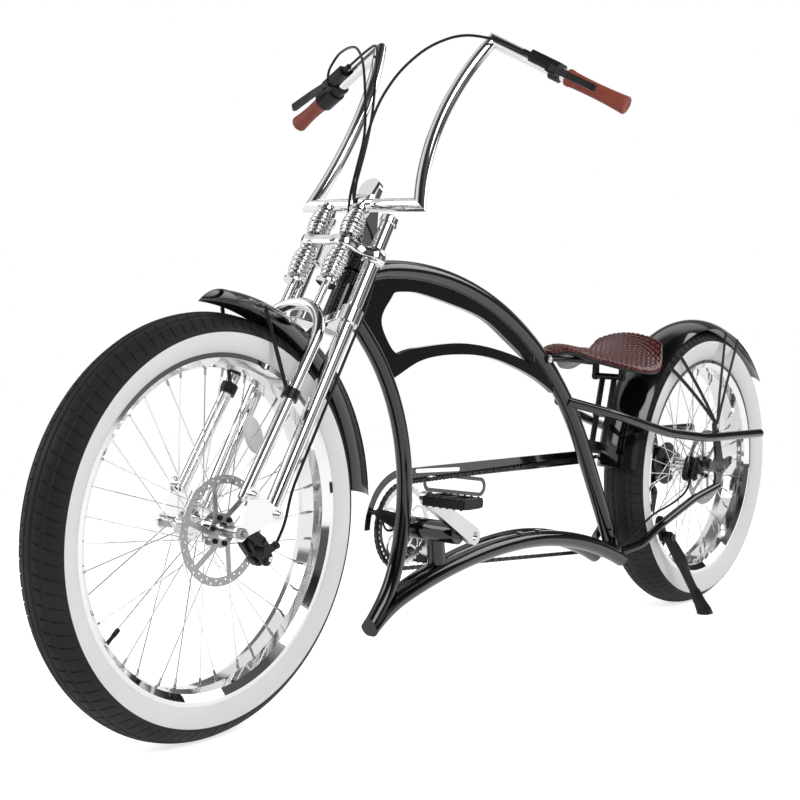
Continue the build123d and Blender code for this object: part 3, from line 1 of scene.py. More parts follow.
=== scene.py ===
# %% [markdown]
# # A stretch cruiser bicycle
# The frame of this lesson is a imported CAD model: every tube, wheel and pivot is already
# in its place, in metres. Here it gets its finishes, its tread, its leather and its small
# fasteners, and a plain studio to stand in.

# %% Load the model
import json
import math

import bmesh
import bpy
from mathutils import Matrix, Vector, noise


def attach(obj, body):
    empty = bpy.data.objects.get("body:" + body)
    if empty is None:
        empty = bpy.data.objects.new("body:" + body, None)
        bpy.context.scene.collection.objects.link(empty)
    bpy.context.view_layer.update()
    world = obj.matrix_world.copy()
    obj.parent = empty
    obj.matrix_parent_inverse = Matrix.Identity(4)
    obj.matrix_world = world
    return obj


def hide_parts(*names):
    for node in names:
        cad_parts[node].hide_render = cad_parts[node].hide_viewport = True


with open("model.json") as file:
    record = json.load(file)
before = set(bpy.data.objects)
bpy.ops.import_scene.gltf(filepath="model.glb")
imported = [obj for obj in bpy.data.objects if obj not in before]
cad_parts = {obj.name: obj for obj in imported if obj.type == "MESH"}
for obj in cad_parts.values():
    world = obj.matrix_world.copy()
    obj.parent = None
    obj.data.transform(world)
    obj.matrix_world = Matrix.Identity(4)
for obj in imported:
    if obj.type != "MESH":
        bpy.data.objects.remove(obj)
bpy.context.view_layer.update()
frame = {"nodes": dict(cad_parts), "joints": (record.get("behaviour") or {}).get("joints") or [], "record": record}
NODES = frame["nodes"]
scene = bpy.context.scene

# %% [markdown]
# The joints of the model tell where its wheels and pivots are, so no place has to be typed
# twice. A drawing of a bicycle is made upright and in millimetres from the rear axle, so one
# helper turns such a place into the leaned, parked position in metres.

# %% Read the pivots
PIVOTS = {j["name"]: (Vector(j["pos_m"]), Vector(j["axis"]).normalized()) for j in frame["joints"]}
front_axle, across = PIVOTS["front_wheel_spin"]
rear_axle, _ = PIVOTS["rear_wheel_spin"]
AHEAD = Vector((1, 0, 0))
UPRIGHT = AHEAD.cross(across)
REAR_AXLE_HIGH = 334.6


def spot(x, y, z):
    """A place of the upright drawing, in millimetres, as a place of the parked bicycle."""
    return rear_axle + (AHEAD * x + across * y + UPRIGHT * (z - REAR_AXLE_HIGH)) / 1000


def way(x, y, z):
    """A direction of the upright drawing, turned with the parked bicycle."""
    return (AHEAD * x + across * y + UPRIGHT * z).normalized()


print("lean", round(math.degrees(math.asin(-across.z)), 2), "degrees")

# %% [markdown]
# ## The camera
# The picture was taken from the front left, a little above the saddle, with a long lens.
# A camera looks down its own -Z, so its turn comes from the direction of view.

# %% Place the camera
EYE = rear_axle + Vector((3.4239, 1.8240, 0.3404))
VIEW_AZIMUTH, VIEW_PITCH = math.radians(218.49), math.radians(-2.71)
view = Vector((
    math.cos(VIEW_AZIMUTH) * math.cos(VIEW_PITCH),
    math.sin(VIEW_AZIMUTH) * math.cos(VIEW_PITCH),
    math.sin(VIEW_PITCH),
))
camera_data = bpy.data.cameras.new("camera")
camera_data.lens = 70.37
camera_data.sensor_width = 36.0
camera = bpy.data.objects.new("camera", camera_data)
camera.location = EYE
camera.rotation_euler = view.to_track_quat("-Z", "Y").to_euler()
scene.collection.objects.link(camera)
scene.camera = camera
print("camera", tuple(round(v, 3) for v in EYE))

# %% [markdown]
# ## The studio
# A catalogue picture has a floor and a wall that run together in one white. The floor here
# keeps the soft shadow of the wheels, and adds a little of its own white for the eye and
# for mirrors, so that its lit part reaches the white of the room.

# %% The floor


def new_material(name):
    """A material, its node tree and its Principled shader."""
    material = bpy.data.materials.new(name)
    material.use_nodes = True
    tree = material.node_tree
    return material, tree, tree.nodes["Principled BSDF"]


def seen_rays(tree, mirror):
    """A mask of the rays that the eye or glass sends out, and a share of those of a mirror."""
    rays = tree.nodes.new("ShaderNodeLightPath")
    part = tree.nodes.new("ShaderNodeMath")
    part.operation = "MULTIPLY"
    part.inputs[1].default_value = mirror
    first = tree.nodes.new("ShaderNodeMath")
    first.operation = "MAXIMUM"
    second = tree.nodes.new("ShaderNodeMath")
    second.operation = "MAXIMUM"
    tree.links.new(rays.outputs["Is Glossy Ray"], part.inputs[0])
    tree.links.new(rays.outputs["Is Camera Ray"], first.inputs[0])
    tree.links.new(part.outputs[0], first.inputs[1])
    tree.links.new(first.outputs[0], second.inputs[0])
    tree.links.new(rays.outputs["Is Transmission Ray"], second.inputs[1])
    return second.outputs[0]


def link_piece(name, mesh):
    """Puts a mesh in the scene as a new object."""
    piece = bpy.data.objects.new(name, mesh)
    scene.collection.objects.link(piece)
    return piece


FLOOR_HALF = 3.4
floor_mesh = bpy.data.meshes.new("floor")
corners = [(-FLOOR_HALF, -FLOOR_HALF, 0), (FLOOR_HALF, -FLOOR_HALF, 0)]
corners += [(FLOOR_HALF, FLOOR_HALF, 0), (-FLOOR_HALF, FLOOR_HALF, 0)]
floor_mesh.from_pydata(corners, [], [(0, 1, 2, 3)])
floor = link_piece("floor", floor_mesh)
floor_paint, tree, shader = new_material("studio floor")
shader.inputs["Base Color"].default_value = (0.92, 0.92, 0.92, 1)
shader.inputs["Roughness"].default_value = 0.95
shader.inputs["Specular IOR Level"].default_value = 0.0
glow = tree.nodes.new("ShaderNodeMath")
glow.operation = "MULTIPLY"
glow.inputs[1].default_value = 0.72
tree.links.new(seen_rays(tree, 0.45), glow.inputs[0])
shader.inputs["Emission Color"].default_value = (1, 1, 1, 1)
tree.links.new(glow.outputs[0], shader.inputs["Emission Strength"])
floor_mesh.materials.append(floor_paint)

# %% [markdown]
# Chrome shows the room and nothing else. A room that is white all over makes it flat, so the
# room has a dark band above eye level and is dim on the photographer's side, as a studio is,
# while the side behind the bicycle stays white.

# %% The room
world = bpy.data.worlds.new("studio")
scene.world = world
world.use_nodes = True
tree = world.node_tree
tree.nodes.clear()
out = tree.nodes.new("ShaderNodeOutputWorld")
backdrop = tree.nodes.new("ShaderNodeBackground")
fill = tree.nodes.new("ShaderNodeBackground")
mix = tree.nodes.new("ShaderNodeMixShader")
place = tree.nodes.new("ShaderNodeTexCoord")
height = tree.nodes.new("ShaderNodeSeparateXYZ")


def ramp(tree, stops):
    """A grey ramp through pairs of place and tone."""
    node = tree.nodes.new("ShaderNodeValToRGB")
    elements = node.color_ramp.elements
    elements[0].position, elements[1].position = stops[0][0], stops[-1][0]
    for element, tone in ((elements[0], stops[0][1]), (elements[1], stops[-1][1])):
        element.color = (tone, tone, tone, 1)
    for position, tone in stops[1:-1]:
        elements.new(position).color = (tone, tone, tone, 1)
    return node


bands = ramp(tree, ((0.0, 1.0), (0.21, 1.0), (0.27, 0.2), (0.5, 0.12), (0.58, 0.8), (0.8, 0.9), (0.9, 0.2)))
behind = tree.nodes.new("ShaderNodeVectorMath")
behind.operation = "DOT_PRODUCT"
behind.inputs[1].default_value = (0.1, 0.5, 0.0)
shift = tree.nodes.new("ShaderNodeMath")
shift.inputs[1].default_value = 0.5
wall = ramp(tree, ((0.3, 1.0), (0.44, 0.9), (0.5, 0.16), (0.84, 0.1), (0.89, 0.5), (0.94, 0.5), (0.98, 0.1)))
room = tree.nodes.new("ShaderNodeMix")
room.data_type = "RGBA"
room.blend_type = "MULTIPLY"
room.inputs["Factor"].default_value = 1.0
rays = tree.nodes.new("ShaderNodeLightPath")
shown = tree.nodes.new("ShaderNodeMix")
shown.data_type = "RGBA"
shown.inputs["A"].default_value = (1, 1, 1, 1)
tree.links.new(place.outputs["Generated"], height.inputs[0])
tree.links.new(place.outputs["Generated"], behind.inputs[0])
tree.links.new(height.outputs["Z"], bands.inputs[0])
tree.links.new(behind.outputs["Value"], shift.inputs[0])
tree.links.new(shift.outputs[0], wall.inputs[0])
tree.links.new(bands.outputs[0], room.inputs["A"])
tree.links.new(wall.outputs[0], room.inputs["B"])
tree.links.new(rays.outputs["Is Glossy Ray"], shown.inputs["Factor"])
tree.links.new(room.outputs["Result"], shown.inputs["B"])
tree.links.new(shown.outputs["Result"], backdrop.inputs["Color"])
fill.inputs["Color"].default_value = (1, 1, 1, 1)
fill.inputs["Strength"].default_value = 0.4
tree.links.new(seen_rays(tree, 1.0), mix.inputs[0])
tree.links.new(fill.outputs[0], mix.inputs[1])
tree.links.new(backdrop.outputs[0], mix.inputs[2])
tree.links.new(mix.outputs[0], out.inputs[0])

LAMPS = (  # name, place, aim, size, watts
    ("key", (1.4, 2.8, 2.8), (0, 0, 0.4), 2.0, 55),
    ("side", (2.8, -2.2, 2.4), (0.2, 0, 0.5), 1.8, 32),
    ("back", (-2.6, 1.6, 2.4), (-0.3, 0, 0.4), 1.8, 32),
)
for name, lamp_place, aim, size, watts in LAMPS:
    lamp = bpy.data.lights.new(name, "AREA")
    lamp.energy = watts
    lamp.size = size
    holder = bpy.data.objects.new(name, lamp)
    holder.location = lamp_place
    holder.rotation_euler = (Vector(aim) - Vector(lamp_place)).to_track_quat("-Z", "Y").to_euler()
    scene.collection.objects.link(holder)
scene.view_settings.view_transform = "Standard"
print("lamps", [row[0] for row in LAMPS])

# %% [markdown]
# ## Shared surface effects
# Paint, chrome, rubber and leather all need small unevenness: a cloudy film of handling, a
# fine grain, and a slow drift of tone. Each of these is a node group, made once and given
# its own numbers in every material that uses it.

# %% Effect groups


def new_group(name, inputs, outputs):
    """A shader node group with named sockets, and its two ends."""
    group = bpy.data.node_groups.new(name, "ShaderNodeTree")
    for title, kind, value in inputs:
        socket = group.interface.new_socket(title, in_out="INPUT", socket_type=kind)
        socket.default_value = value
    for title, kind in outputs:
        group.interface.new_socket(title, in_out="OUTPUT", socket_type=kind)
    return group, group.nodes.new("NodeGroupInput"), group.nodes.new("NodeGroupOutput")


def noise_node(group, start, scale, detail):
    """A noise in object space whose scale comes from the group's input."""
    where = group.nodes.new("ShaderNodeTexCoord")
    cloud = group.nodes.new("ShaderNodeTexNoise")
    cloud.inputs["Detail"].default_value = detail
    group.links.new(where.outputs["Object"], cloud.inputs["Vector"])
    group.links.new(start.outputs[scale], cloud.inputs["Scale"])
    return cloud


VALUE, COLOR = "NodeSocketFloat", "NodeSocketColor"

smudge, start, end = new_group(
    "handling film", (("Scale", VALUE, 6.0), ("Low", VALUE, 0.05), ("High", VALUE, 0.15)), (("Roughness", VALUE),)
)
cloud = noise_node(smudge, start, "Scale", 6.0)
spread = smudge.nodes.new("ShaderNodeMapRange")
spread.inputs["From Min"].default_value = 0.35
spread.inputs["From Max"].default_value = 0.7
smudge.links.new(cloud.outputs["Fac"], spread.inputs["Value"])
smudge.links.new(start.outputs["Low"], spread.inputs["To Min"])
smudge.links.new(start.outputs["High"], spread.inputs["To Max"])
smudge.links.new(spread.outputs["Result"], end.inputs["Roughness"])

drift, start, end = new_group(
    "tone drift", (("Scale", VALUE, 4.0), ("Deep", COLOR, (0, 0, 0, 1)), ("Pale", COLOR, (1, 1, 1, 1))),
    (("Color", COLOR),),
)
cloud = noise_node(drift, start, "Scale", 4.0)
tone = drift.nodes.new("ShaderNodeMix")
tone.data_type = "RGBA"
drift.links.new(cloud.outputs["Fac"], tone.inputs["Factor"])
drift.links.new(start.outputs["Deep"], tone.inputs["A"])
drift.links.new(start.outputs["Pale"], tone.inputs["B"])
drift.links.new(tone.outputs["Result"], end.inputs["Color"])

grain, start, end = new_group("fine grain", (("Scale", VALUE, 400.0),), (("Height", VALUE),))
cloud = noise_node(grain, start, "Scale", 2.0)
grain.links.new(cloud.outputs["Fac"], end.inputs["Height"])
print("groups", [g.name for g in bpy.data.node_groups])

# %% [markdown]
# ## Finishes
# Every finish is one Principled shader with its constant values set on the shader itself.
# What changes over the surface comes from the groups: tone into the colour, film into the
# roughness, grain through a bump into the normal.

# %% A finish from its numbers


def place_group(tree, group, **values):
    """Puts a group into a material with its own values."""
    node = tree.nodes.new("ShaderNodeGroup")
    node.node_tree = group
    for title, value in values.items():
        node.inputs[title].default_value = value
    return node


def finish(name, deep, pale, film, metal=0.0, coat=0.0, shine=0.5, tone_scale=5.0, grain_scale=0.0, grain_depth=0.0):
    """A finish: two tones, the range of its film, and an optional grain."""
    material, tree, shader = new_material(name)
    shader.inputs["Metallic"].default_value = metal
    shader.inputs["Coat Weight"].default_value = coat
    shader.inputs["Specular IOR Level"].default_value = shine
    shader.inputs["Coat Roughness"].default_value = 0.04
    tones = place_group(tree, drift, Scale=tone_scale, Deep=(*deep, 1), Pale=(*pale, 1))
    tree.links.new(tones.outputs["Color"], shader.inputs["Base Color"])
    cover = place_group(tree, smudge, Low=film[0], High=film[1])
    tree.links.new(cover.outputs["Roughness"], shader.inputs["Roughness"])
    if grain_scale:
        bumps = place_group(tree, grain, Scale=grain_scale)
        bump = tree.nodes.new("ShaderNodeBump")
        bump.inputs["Strength"].default_value = grain_depth
        bump.inputs["Distance"].default_value = 0.0004
        tree.links.new(bumps.outputs["Height"], bump.inputs["Height"])
        tree.links.new(bump.outputs["Normal"], shader.inputs["Normal"])
    return material


FINISH = {
    "gloss_black": finish("gloss black paint", (0.002, 0.002, 0.002), (0.005, 0.005, 0.005), (0.06, 0.13), coat=0.5),
    "satin_black": finish("satin black", (0.006, 0.006, 0.006), (0.012, 0.012, 0.012), (0.3, 0.45), shine=0.3,
                          grain_scale=900, grain_depth=0.25),
    "chrome": finish("chrome plate", (0.78, 0.78, 0.79), (0.86, 0.86, 0.87), (0.02, 0.09), metal=1.0),
    "alloy": finish("polished alloy", (0.62, 0.62, 0.63), (0.72, 0.72, 0.73), (0.14, 0.26), metal=1.0,
                    grain_scale=700, grain_depth=0.1),
    "steel": finish("ground steel", (0.3, 0.3, 0.3), (0.44, 0.44, 0.44), (0.22, 0.36), metal=1.0,
                    grain_scale=1200, grain_depth=0.2),
    "dark_grey": finish("graphite paint", (0.018, 0.018, 0.019), (0.03, 0.03, 0.031), (0.12, 0.25), coat=0.4),
    "tyre": finish("tyre rubber", (0.009, 0.009, 0.009), (0.017, 0.017, 0.017), (0.5, 0.72), shine=0.3,
                   grain_scale=700, grain_depth=0.4),
    "rubber": finish("black rubber", (0.006, 0.006, 0.006), (0.011, 0.011, 0.011), (0.32, 0.5), shine=0.25,
                     grain_scale=900, grain_depth=0.3),
    "grip": finish("grip rubber", (0.235, 0.04, 0.023), (0.31, 0.058, 0.033), (0.42, 0.56), tone_scale=30,
                   grain_scale=1100, grain_depth=0.5),
}
WHITE_WALL = finish("white wall rubber", (0.78, 0.78, 0.77), (0.86, 0.86, 0.85), (0.45, 0.6), tone_scale=9,
                    grain_scale=800, grain_depth=0.15)
for row in frame["record"]["subparts"]:
    if row["material_slot"] in FINISH:
        NODES[row["node"]].data.materials.clear()
        NODES[row["node"]].data.materials.append(FINISH[row["material_slot"]])
print("finishes", sorted(FINISH))

# %% [markdown]
# ## Tyres
# A cruiser tyre is a fat ring with a black road tread and a broad white wall. The CAD ring
# is smooth, because its tread is too fine for a solid. Here the section is turned round the
# axle in steps that follow the tread blocks, and the cuts between blocks are pressed into
# the ring itself, so they show in the outline. The columns lean forward towards the middle,
# which makes the cuts run in a chevron.

# %% Turn a tyre
TREAD_STEPS = 15
GROOVE_DEEP, CUT_DEEP = 1.6, 1.8


def tyre_rows(rim, half, wall, top, white):
    """The section of one side: place across, radius, and whether it is white."""
    rise, reach = 0.45 * half, half - 5
    crown = (reach**2 + rise**2) / (2 * rise)
    rows = [(wall[0], rim, True)]
    rows += [(y, r, r <= white) for y, r in wall[1]]
    for step in range(TREAD_STEPS + 1):
        y = reach * (1 - step / TREAD_STEPS)
        rows.append((y, top - crown + math.sqrt(crown**2 - y**2), False))
    return rows


def make_tyre(name, axle, rows, blocks, skew):
    """A tyre with pressed tread, its columns set by the tread blocks."""
    profile = rows + [(-y, r, w) for y, r, w in rows[-2::-1]]
    reach, shoulder = rows[-TREAD_STEPS - 1][0], rows[-TREAD_STEPS - 1][1] - 0.5
    work = bmesh.new()
    rings = []
    for block in range(blocks):
        for share, cut in ((0.0, 0), (0.03, 1), (0.1, 1), (0.13, 0), (0.56, 0)):
            ring = []
            for y, r, white in profile:
                inward = min(abs(y), reach)
                turn = 2 * math.pi * (block + share) / blocks + skew * (reach - inward) / reach
                depth = 0.0
                across_share = abs(y) / reach
                on_tread = abs(y) <= reach and r > shoulder
                if on_tread and (0.5 < across_share < 0.62 or 0.12 < across_share < 0.22):
                    depth = GROOVE_DEEP
                elif on_tread and cut and (across_share > 0.6 or 0.2 < across_share < 0.5):
                    depth = CUT_DEEP
                radius = (r - depth) / 1000
                out_way = AHEAD * math.cos(turn) + UPRIGHT * math.sin(turn)
                ring.append(work.verts.new(axle + out_way * radius + across * (y / 1000)))
            rings.append(ring)
    for now, after in zip(rings, rings[1:] + rings[:1]):
        for k in range(len(profile) - 1):
            (y1, r1, white1), (y2, _, white2) = profile[k], profile[k + 1]
            face = work.faces.new((now[k], now[k + 1], after[k + 1], after[k]))
            face.smooth = max(abs(y1), abs(y2)) > reach or r1 <= shoulder
            face.material_index = 1 if white1 and white2 else 0
    for now, after in zip(rings, rings[1:] + rings[:1]):
        work.faces.new((now[0], after[0], after[-1], now[-1]))
    bmesh.ops.recalc_face_normals(work, faces=work.faces)
    mesh = bpy.data.meshes.new(name)
    work.to_mesh(mesh)
    work.free()
    mesh.materials.append(FINISH["tyre"])
    mesh.materials.append(WHITE_WALL)
    return link_piece(name, mesh)


FRONT_RIM, REAR_RIM = 285.5, 260.5
FRONT_WALL = (37, [(40, 289), (43.5, 297), (46.2, 307), (47, 315), (46.9, 318.5), (46.2, 321.5), (44.6, 325)])
REAR_WALL = (41, [(45, 266), (49, 277), (51.4, 289), (52, 299), (51.6, 306), (50.6, 308.4), (49, 310)])
front_rows = tyre_rows(FRONT_RIM, 47, FRONT_WALL, 349.3, 318.6)
rear_rows = tyre_rows(REAR_RIM, 52, REAR_WALL, REAR_AXLE_HIGH, 306.5)
front_tyre = make_tyre("front_tyre_tread", front_axle, front_rows, 96, 0.05)
rear_tyre = make_tyre("rear_tyre_tread", rear_axle, rear_rows, 92, 0.05)
for piece, node, body in ((front_tyre, "front_tyre", "front_wheel"), (rear_tyre, "rear_tyre", "rear_wheel")):
    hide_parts(node)
    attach(piece, body)
    print(piece.name, len(piece.data.polygons), "faces")

# %% [markdown]
# ## Turned parts
# Bolts, nipples, caps and grips are all turned or pressed round an axis. One helper turns a
# profile of distance along the axis and radius; six corners in place of a circle make a
# hexagon head. The edges of a head are broken by small extra steps, as on the real thing.

# %% The turning helper


def turn_into(work, base, axis, profile, sides=20, material=0):
    """Adds a closed turned form to a mesh: profile pairs run along the axis, in millimetres."""
    axis = axis.normalized()
    side = axis.orthogonal().normalized()
    other = axis.cross(side)
    rings = []
    for along, radius in profile:
        ring = []
        for k in range(sides):
            a = 2 * math.pi * k / sides
            out_way = side * math.cos(a) + other * math.sin(a)
            ring.append(work.verts.new(base + axis * (along / 1000) + out_way * (radius / 1000)))
        rings.append(ring)
    faces = []
    for low, high in zip(rings, rings[1:]):
        for k in range(sides):
            faces.append(work.faces.new((low[k], low[(k + 1) % sides], high[(k + 1) % sides], high[k])))
    for ring in (rings[0], rings[-1]):
        faces.append(work.faces.new(ring))
    for face in faces:
        face.material_index = material
        face.smooth = sides > 8
    return faces


def close_piece(name, work, materials, body):
    """Ends a mesh, gives it its finishes and lets it ride on a body."""
    bmesh.ops.recalc_face_normals(work, faces=work.faces)
    mesh = bpy.data.meshes.new(name)
    work.to_mesh(mesh)
    work.free()
    for material in materials:
        mesh.materials.append(material)
    piece = link_piece(name, mesh)
    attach(piece, body)
    print(name, len(mesh.polygons), "faces")
    return piece


# %% [markdown]
# ## Grips
# The grips are moulded rubber over the bar: slim in the middle, fuller at the hand's edge and
# flared to a rounded stop at the end. The right one is shorter, because the twist shifter
# sits inboard of it.

# %% Turn the grips
bar_top, bar_end = Vector((1066, 133, 1200)), Vector((1014, 385, 1077))
run = (bar_end - bar_top).normalized()
work = bmesh.new()
for hand, length in ((1, 121.5), (-1, 89.5)):
    base = spot(bar_end.x, hand * bar_end.y, bar_end.z)
    axis = way(run.x, hand * run.y, run.z)
    shape = [(-length, 12.05), (-length, 15.4), (-length + 1.5, 15.9), (-length + 8, 15.9), (-length + 10, 14.9)]
    for step in range(1, 12):
        share = step / 12
        shape.append((-length + 10 + share * (length - 16), 14.6 - 0.9 * math.sin(math.pi * share) + 1.5 * share**3))
    shape += [(-4, 16.2), (-1, 16.5), (1.5, 16.3), (3, 15.2), (3.8, 13.0), (4.0, 6.0), (3.2, 5.2), (3.2, 0.6)]
    turn_into(work, base, axis, shape, sides=36)
grip_piece = close_piece("grip_pair", work, [FINISH["grip"]], "fork")
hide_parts("grips")

# %% [markdown]
# ## Spoke nipples, valves and wheel bolts
# Each spoke ends in a nipple seated in the rim. The spokes are 36 loose pieces of one CAD
# node, so the place and direction of each nipple are read from that mesh: the far end of a
# spoke is where it is farthest from the axle.

# %% Read the spokes


def loose_parts(mesh):
    """The vertex places of each loose piece of a mesh."""
    work = bmesh.new()
    work.from_mesh(mesh)
    bmesh.ops.remove_doubles(work, verts=work.verts, dist=0.00001)
    left = set(work.verts)
    parts = []
    while left:
        queue = [left.pop()]
        group = []
        while queue:
            vert = queue.pop()
            group.append(vert.co.copy())
            for edge in vert.link_edges:
                other = edge.other_vert(vert)
                if other in left:
                    left.remove(other)
                    queue.append(other)
        parts.append(group)
    work.free()
    return parts


def add_nipples(work, node, axle):
    """A small stepped nipple at the rim end of every spoke."""
    count = 0
    for group in loose_parts(NODES[node].data):
        group.sort(key=lambda co: (co - axle - across * (co - axle).dot(across)).length)
        near = sum(group[:6], Vector()) / 6
        far = sum(group[-6:], Vector()) / 6
        axis = (near - far).normalized()
        turn_into(work, far, axis, [(-0.5, 2.6), (3, 2.6), (4, 2.1), (13, 2.1), (13.6, 1.6)], sides=10, material=2)
        count += 1
    return count


def add_valve(work, axle, rim, angle):
    """A tyre valve standing in from the rim: black stem and ribbed cap."""
    turn = math.radians(angle)
    inward = -(AHEAD * math.cos(turn) + UPRIGHT * math.sin(turn))
    base = axle - inward * ((rim - 26) / 1000)
    shape = [(0, 4.2), (4, 4.0), (14, 3.2), (22, 3.0), (23, 4.0), (36, 4.0), (37, 3.2), (37.4, 1.0)]
    turn_into(work, base, inward, shape, sides=14, material=1)


ROTOR_BOLT = [(-1, 4.4), (1.6, 4.4), (2.4, 3.6), (2.4, 2.0), (1.2, 1.9)]
WHEELS = (  # spokes, body, axle, rim radius, angle of the valve
    ("front_spokes", "front_wheel", front_axle, FRONT_RIM, 320.4),
    ("rear_spokes", "rear_wheel", rear_axle, REAR_RIM, 300),
)
for node, body, axle, rim, angle in WHEELS:
    work = bmesh.new()
    made = add_nipples(work, node, axle)
    add_valve(work, axle, rim, angle)
    for k in range(6):
        turn = math.radians(60 * k + 15)
        base = axle + (AHEAD * math.cos(turn) + UPRIGHT * math.sin(turn)) * 0.022 + across * 0.0502
        turn_into(work, base, across, ROTOR_BOLT, sides=12, material=1)
    close_piece(body + "_fittings", work, [FINISH["chrome"], FINISH["rubber"], FINISH["steel"]], body)
    print(node, made, "nipples")

# %% [markdown]
# ## The saddle
# The saddle is a moulded pan with a thin pad under embossed leather. Its top is a grid of
# points over sections like those of the CAD pad, lower at the sides and fuller at the back.
# The grid is fine enough for each scale of the leather to be pressed into it, in rows of
# slightly uneven tiles. A colour layer keeps the depth of the press, so painted shade can
# darken the furrows against the scales.

# %% Saddle sections
SADDLE = (  # x, half width, middle height, edge height, depth
    (645.5, 15.0, 630.0, 625.0, 15.0),
    (600.0, 32.0, 638.0, 630.0, 24.0),
    (520.0, 60.0, 630.0, 608.0, 27.0),
    (430.0, 102.0, 628.0, 588.0, 28.0),
    (355.0, 110.0, 643.0, 590.0, 30.0),
    (305.0, 86.0, 663.0, 645.0, 26.0),
)
EDGE_DEEP = 15.0


def section_at(share):
    """The saddle's section at a share of its length, on a smooth curve through the drawn ones."""
    place = min(max(share, 0.0), 1.0) * (len(SADDLE) - 1)
    k = min(int(place), len(SADDLE) - 2)
    t = place - k
    before, first, second, after = (SADDLE[min(max(k + d, 0), len(SADDLE) - 1)] for d in (-1, 0, 1, 2))
    return [
        0.5 * (2 * b + (c - a) * t + (2 * a - 5 * b + 4 * c - d) * t**2 + (3 * b - a - 3 * c + d) * t**3)
        for a, b, c, d in zip(before, first, second, after)
    ]


def press(x, y):
    """How far a point is from the furrow of its scale: 0 in the furrow, 1 on the scale."""
    wave = noise.noise(Vector((x / 40, y / 40, 0.3))) * 2.2
    row = x / 10.5 + wave * 0.14
    tile = y / 12.5 + 0.5 * (math.floor(row) % 2) + noise.noise(Vector((x / 25, y / 25, 4.7))) * 0.3
    gap = min(min(row % 1, 1 - row % 1) * 10.5, min(tile % 1, 1 - tile % 1) * 12.5)
    level = min(gap / 3.4, 1.0)
    return level * level * (3 - 2 * level)


# %% Press the saddle
LONG, WIDE = 190, 120
END_ROLL, SIDE_ROLL = 0.03, 0.07
PRESS_DEEP = 2.0
work = bmesh.new()
press_shade_layer = work.verts.layers.float_color.new("press")
top, bottom = [], []
for i in range(LONG + 1):
    share = i / LONG
    x, half, middle, edge, deep = section_at(share)
    to_end = min(min(share, 1 - share) / END_ROLL, 1.0)
    end_roll = math.sqrt(max(1 - (1 - to_end) ** 2, 0.0))
    row_top, row_bottom = [], []
    for j in range(WIDE + 1):
        s = 2 * j / WIDE - 1
        roll = 1 - max(abs(s) - 1 + SIDE_ROLL, 0.0) / SIDE_ROLL
        roll = math.sqrt(max(1 - (1 - roll) ** 2, 0.0)) * end_roll
        y = half * s * (0.92 + 0.08 * end_roll)
        high = middle - (middle - edge) * s * s
        low = middle - deep - (middle - deep - edge + EDGE_DEEP) * s * s
        level = press(x, y)
        centre = (high + low) / 2
        z = centre + (high - centre) * roll + PRESS_DEEP * (level - 1) * roll
        vert = work.verts.new(spot(x, y, z))
        # The press depth is kept as a colour, which later paints shade into the furrows.
        vert[press_shade_layer] = (level, level, level, 1)
        row_top.append(vert)
        vert = work.verts.new(spot(x, y, centre + (low - centre) * roll))
        vert[press_shade_layer] = (1, 1, 1, 1)
        row_bottom.append(vert)
    top.append(row_top)
    bottom.append(row_bottom)
for grid, material in ((top, 0), (bottom, 1)):
    for i in range(LONG):
        for j in range(WIDE):
            face = work.faces.new((grid[i][j], grid[i + 1][j], grid[i + 1][j + 1], grid[i][j + 1]))
            face.material_index = material
            face.smooth = True
bmesh.ops.remove_doubles(work, verts=work.verts, dist=0.00005)

# %% [markdown]
# The leather is red-brown and waxed: the scales are glossy and a little worn, and the furrows
# carry painted shade, nearly black. The press layer chooses between the two colours; the
# gloss comes from the handling film.

# %% Saddle leather
leather, tree, shader = new_material("embossed leather")
layer = tree.nodes.new("ShaderNodeVertexColor")
layer.layer_name = "press"
tones = place_group(tree, drift, Scale=22.0, Deep=(0.105, 0.021, 0.022, 1), Pale=(0.2, 0.048, 0.047, 1))
# Painted shade: the press layer mixes a nearly black colour into the furrows.
furrow_shade_mix = tree.nodes.new("ShaderNodeMix")
furrow_shade_mix.data_type = "RGBA"
furrow_shade_mix.inputs["A"].default_value = (0.012, 0.004, 0.004, 1)
tree.links.new(layer.outputs["Color"], furrow_shade_mix.inputs["Factor"])
tree.links.new(tones.outputs["Color"], furrow_shade_mix.inputs["B"])
tree.links.new(furrow_shade_mix.outputs["Result"], shader.inputs["Base Color"])
cover = place_group(tree, smudge, Scale=30.0, Low=0.17, High=0.3)
tree.links.new(cover.outputs["Roughness"], shader.inputs["Roughness"])
pores = place_group(tree, grain, Scale=900.0)
bump = tree.nodes.new("ShaderNodeBump")
bump.inputs["Strength"].default_value = 0.25
bump.inputs["Distance"].default_value = 0.0004
tree.links.new(pores.outputs["Height"], bump.inputs["Height"])
tree.links.new(bump.outputs["Normal"], shader.inputs["Normal"])
NODES["saddle"].data.materials.clear()
NODES["saddle"].data.materials.append(leather)
saddle = close_piece("saddle_pad", work, [leather, FINISH["satin_black"]], "frame")
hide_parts("saddle")

# %% [markdown]
# ## Fork springs
# Each spring is a barrel coil of round wire on a rod, wider in the middle than at its ends.
# The CAD stack of rings gives its place and height. The wire follows a helix whose radius
# swells along the barrel, and its pitch waves a little along the length.

# %% Wind the springs
SPRING_RAKE = math.radians(33)
spring_way = way(-math.sin(SPRING_RAKE), 0, math.cos(SPRING_RAKE))


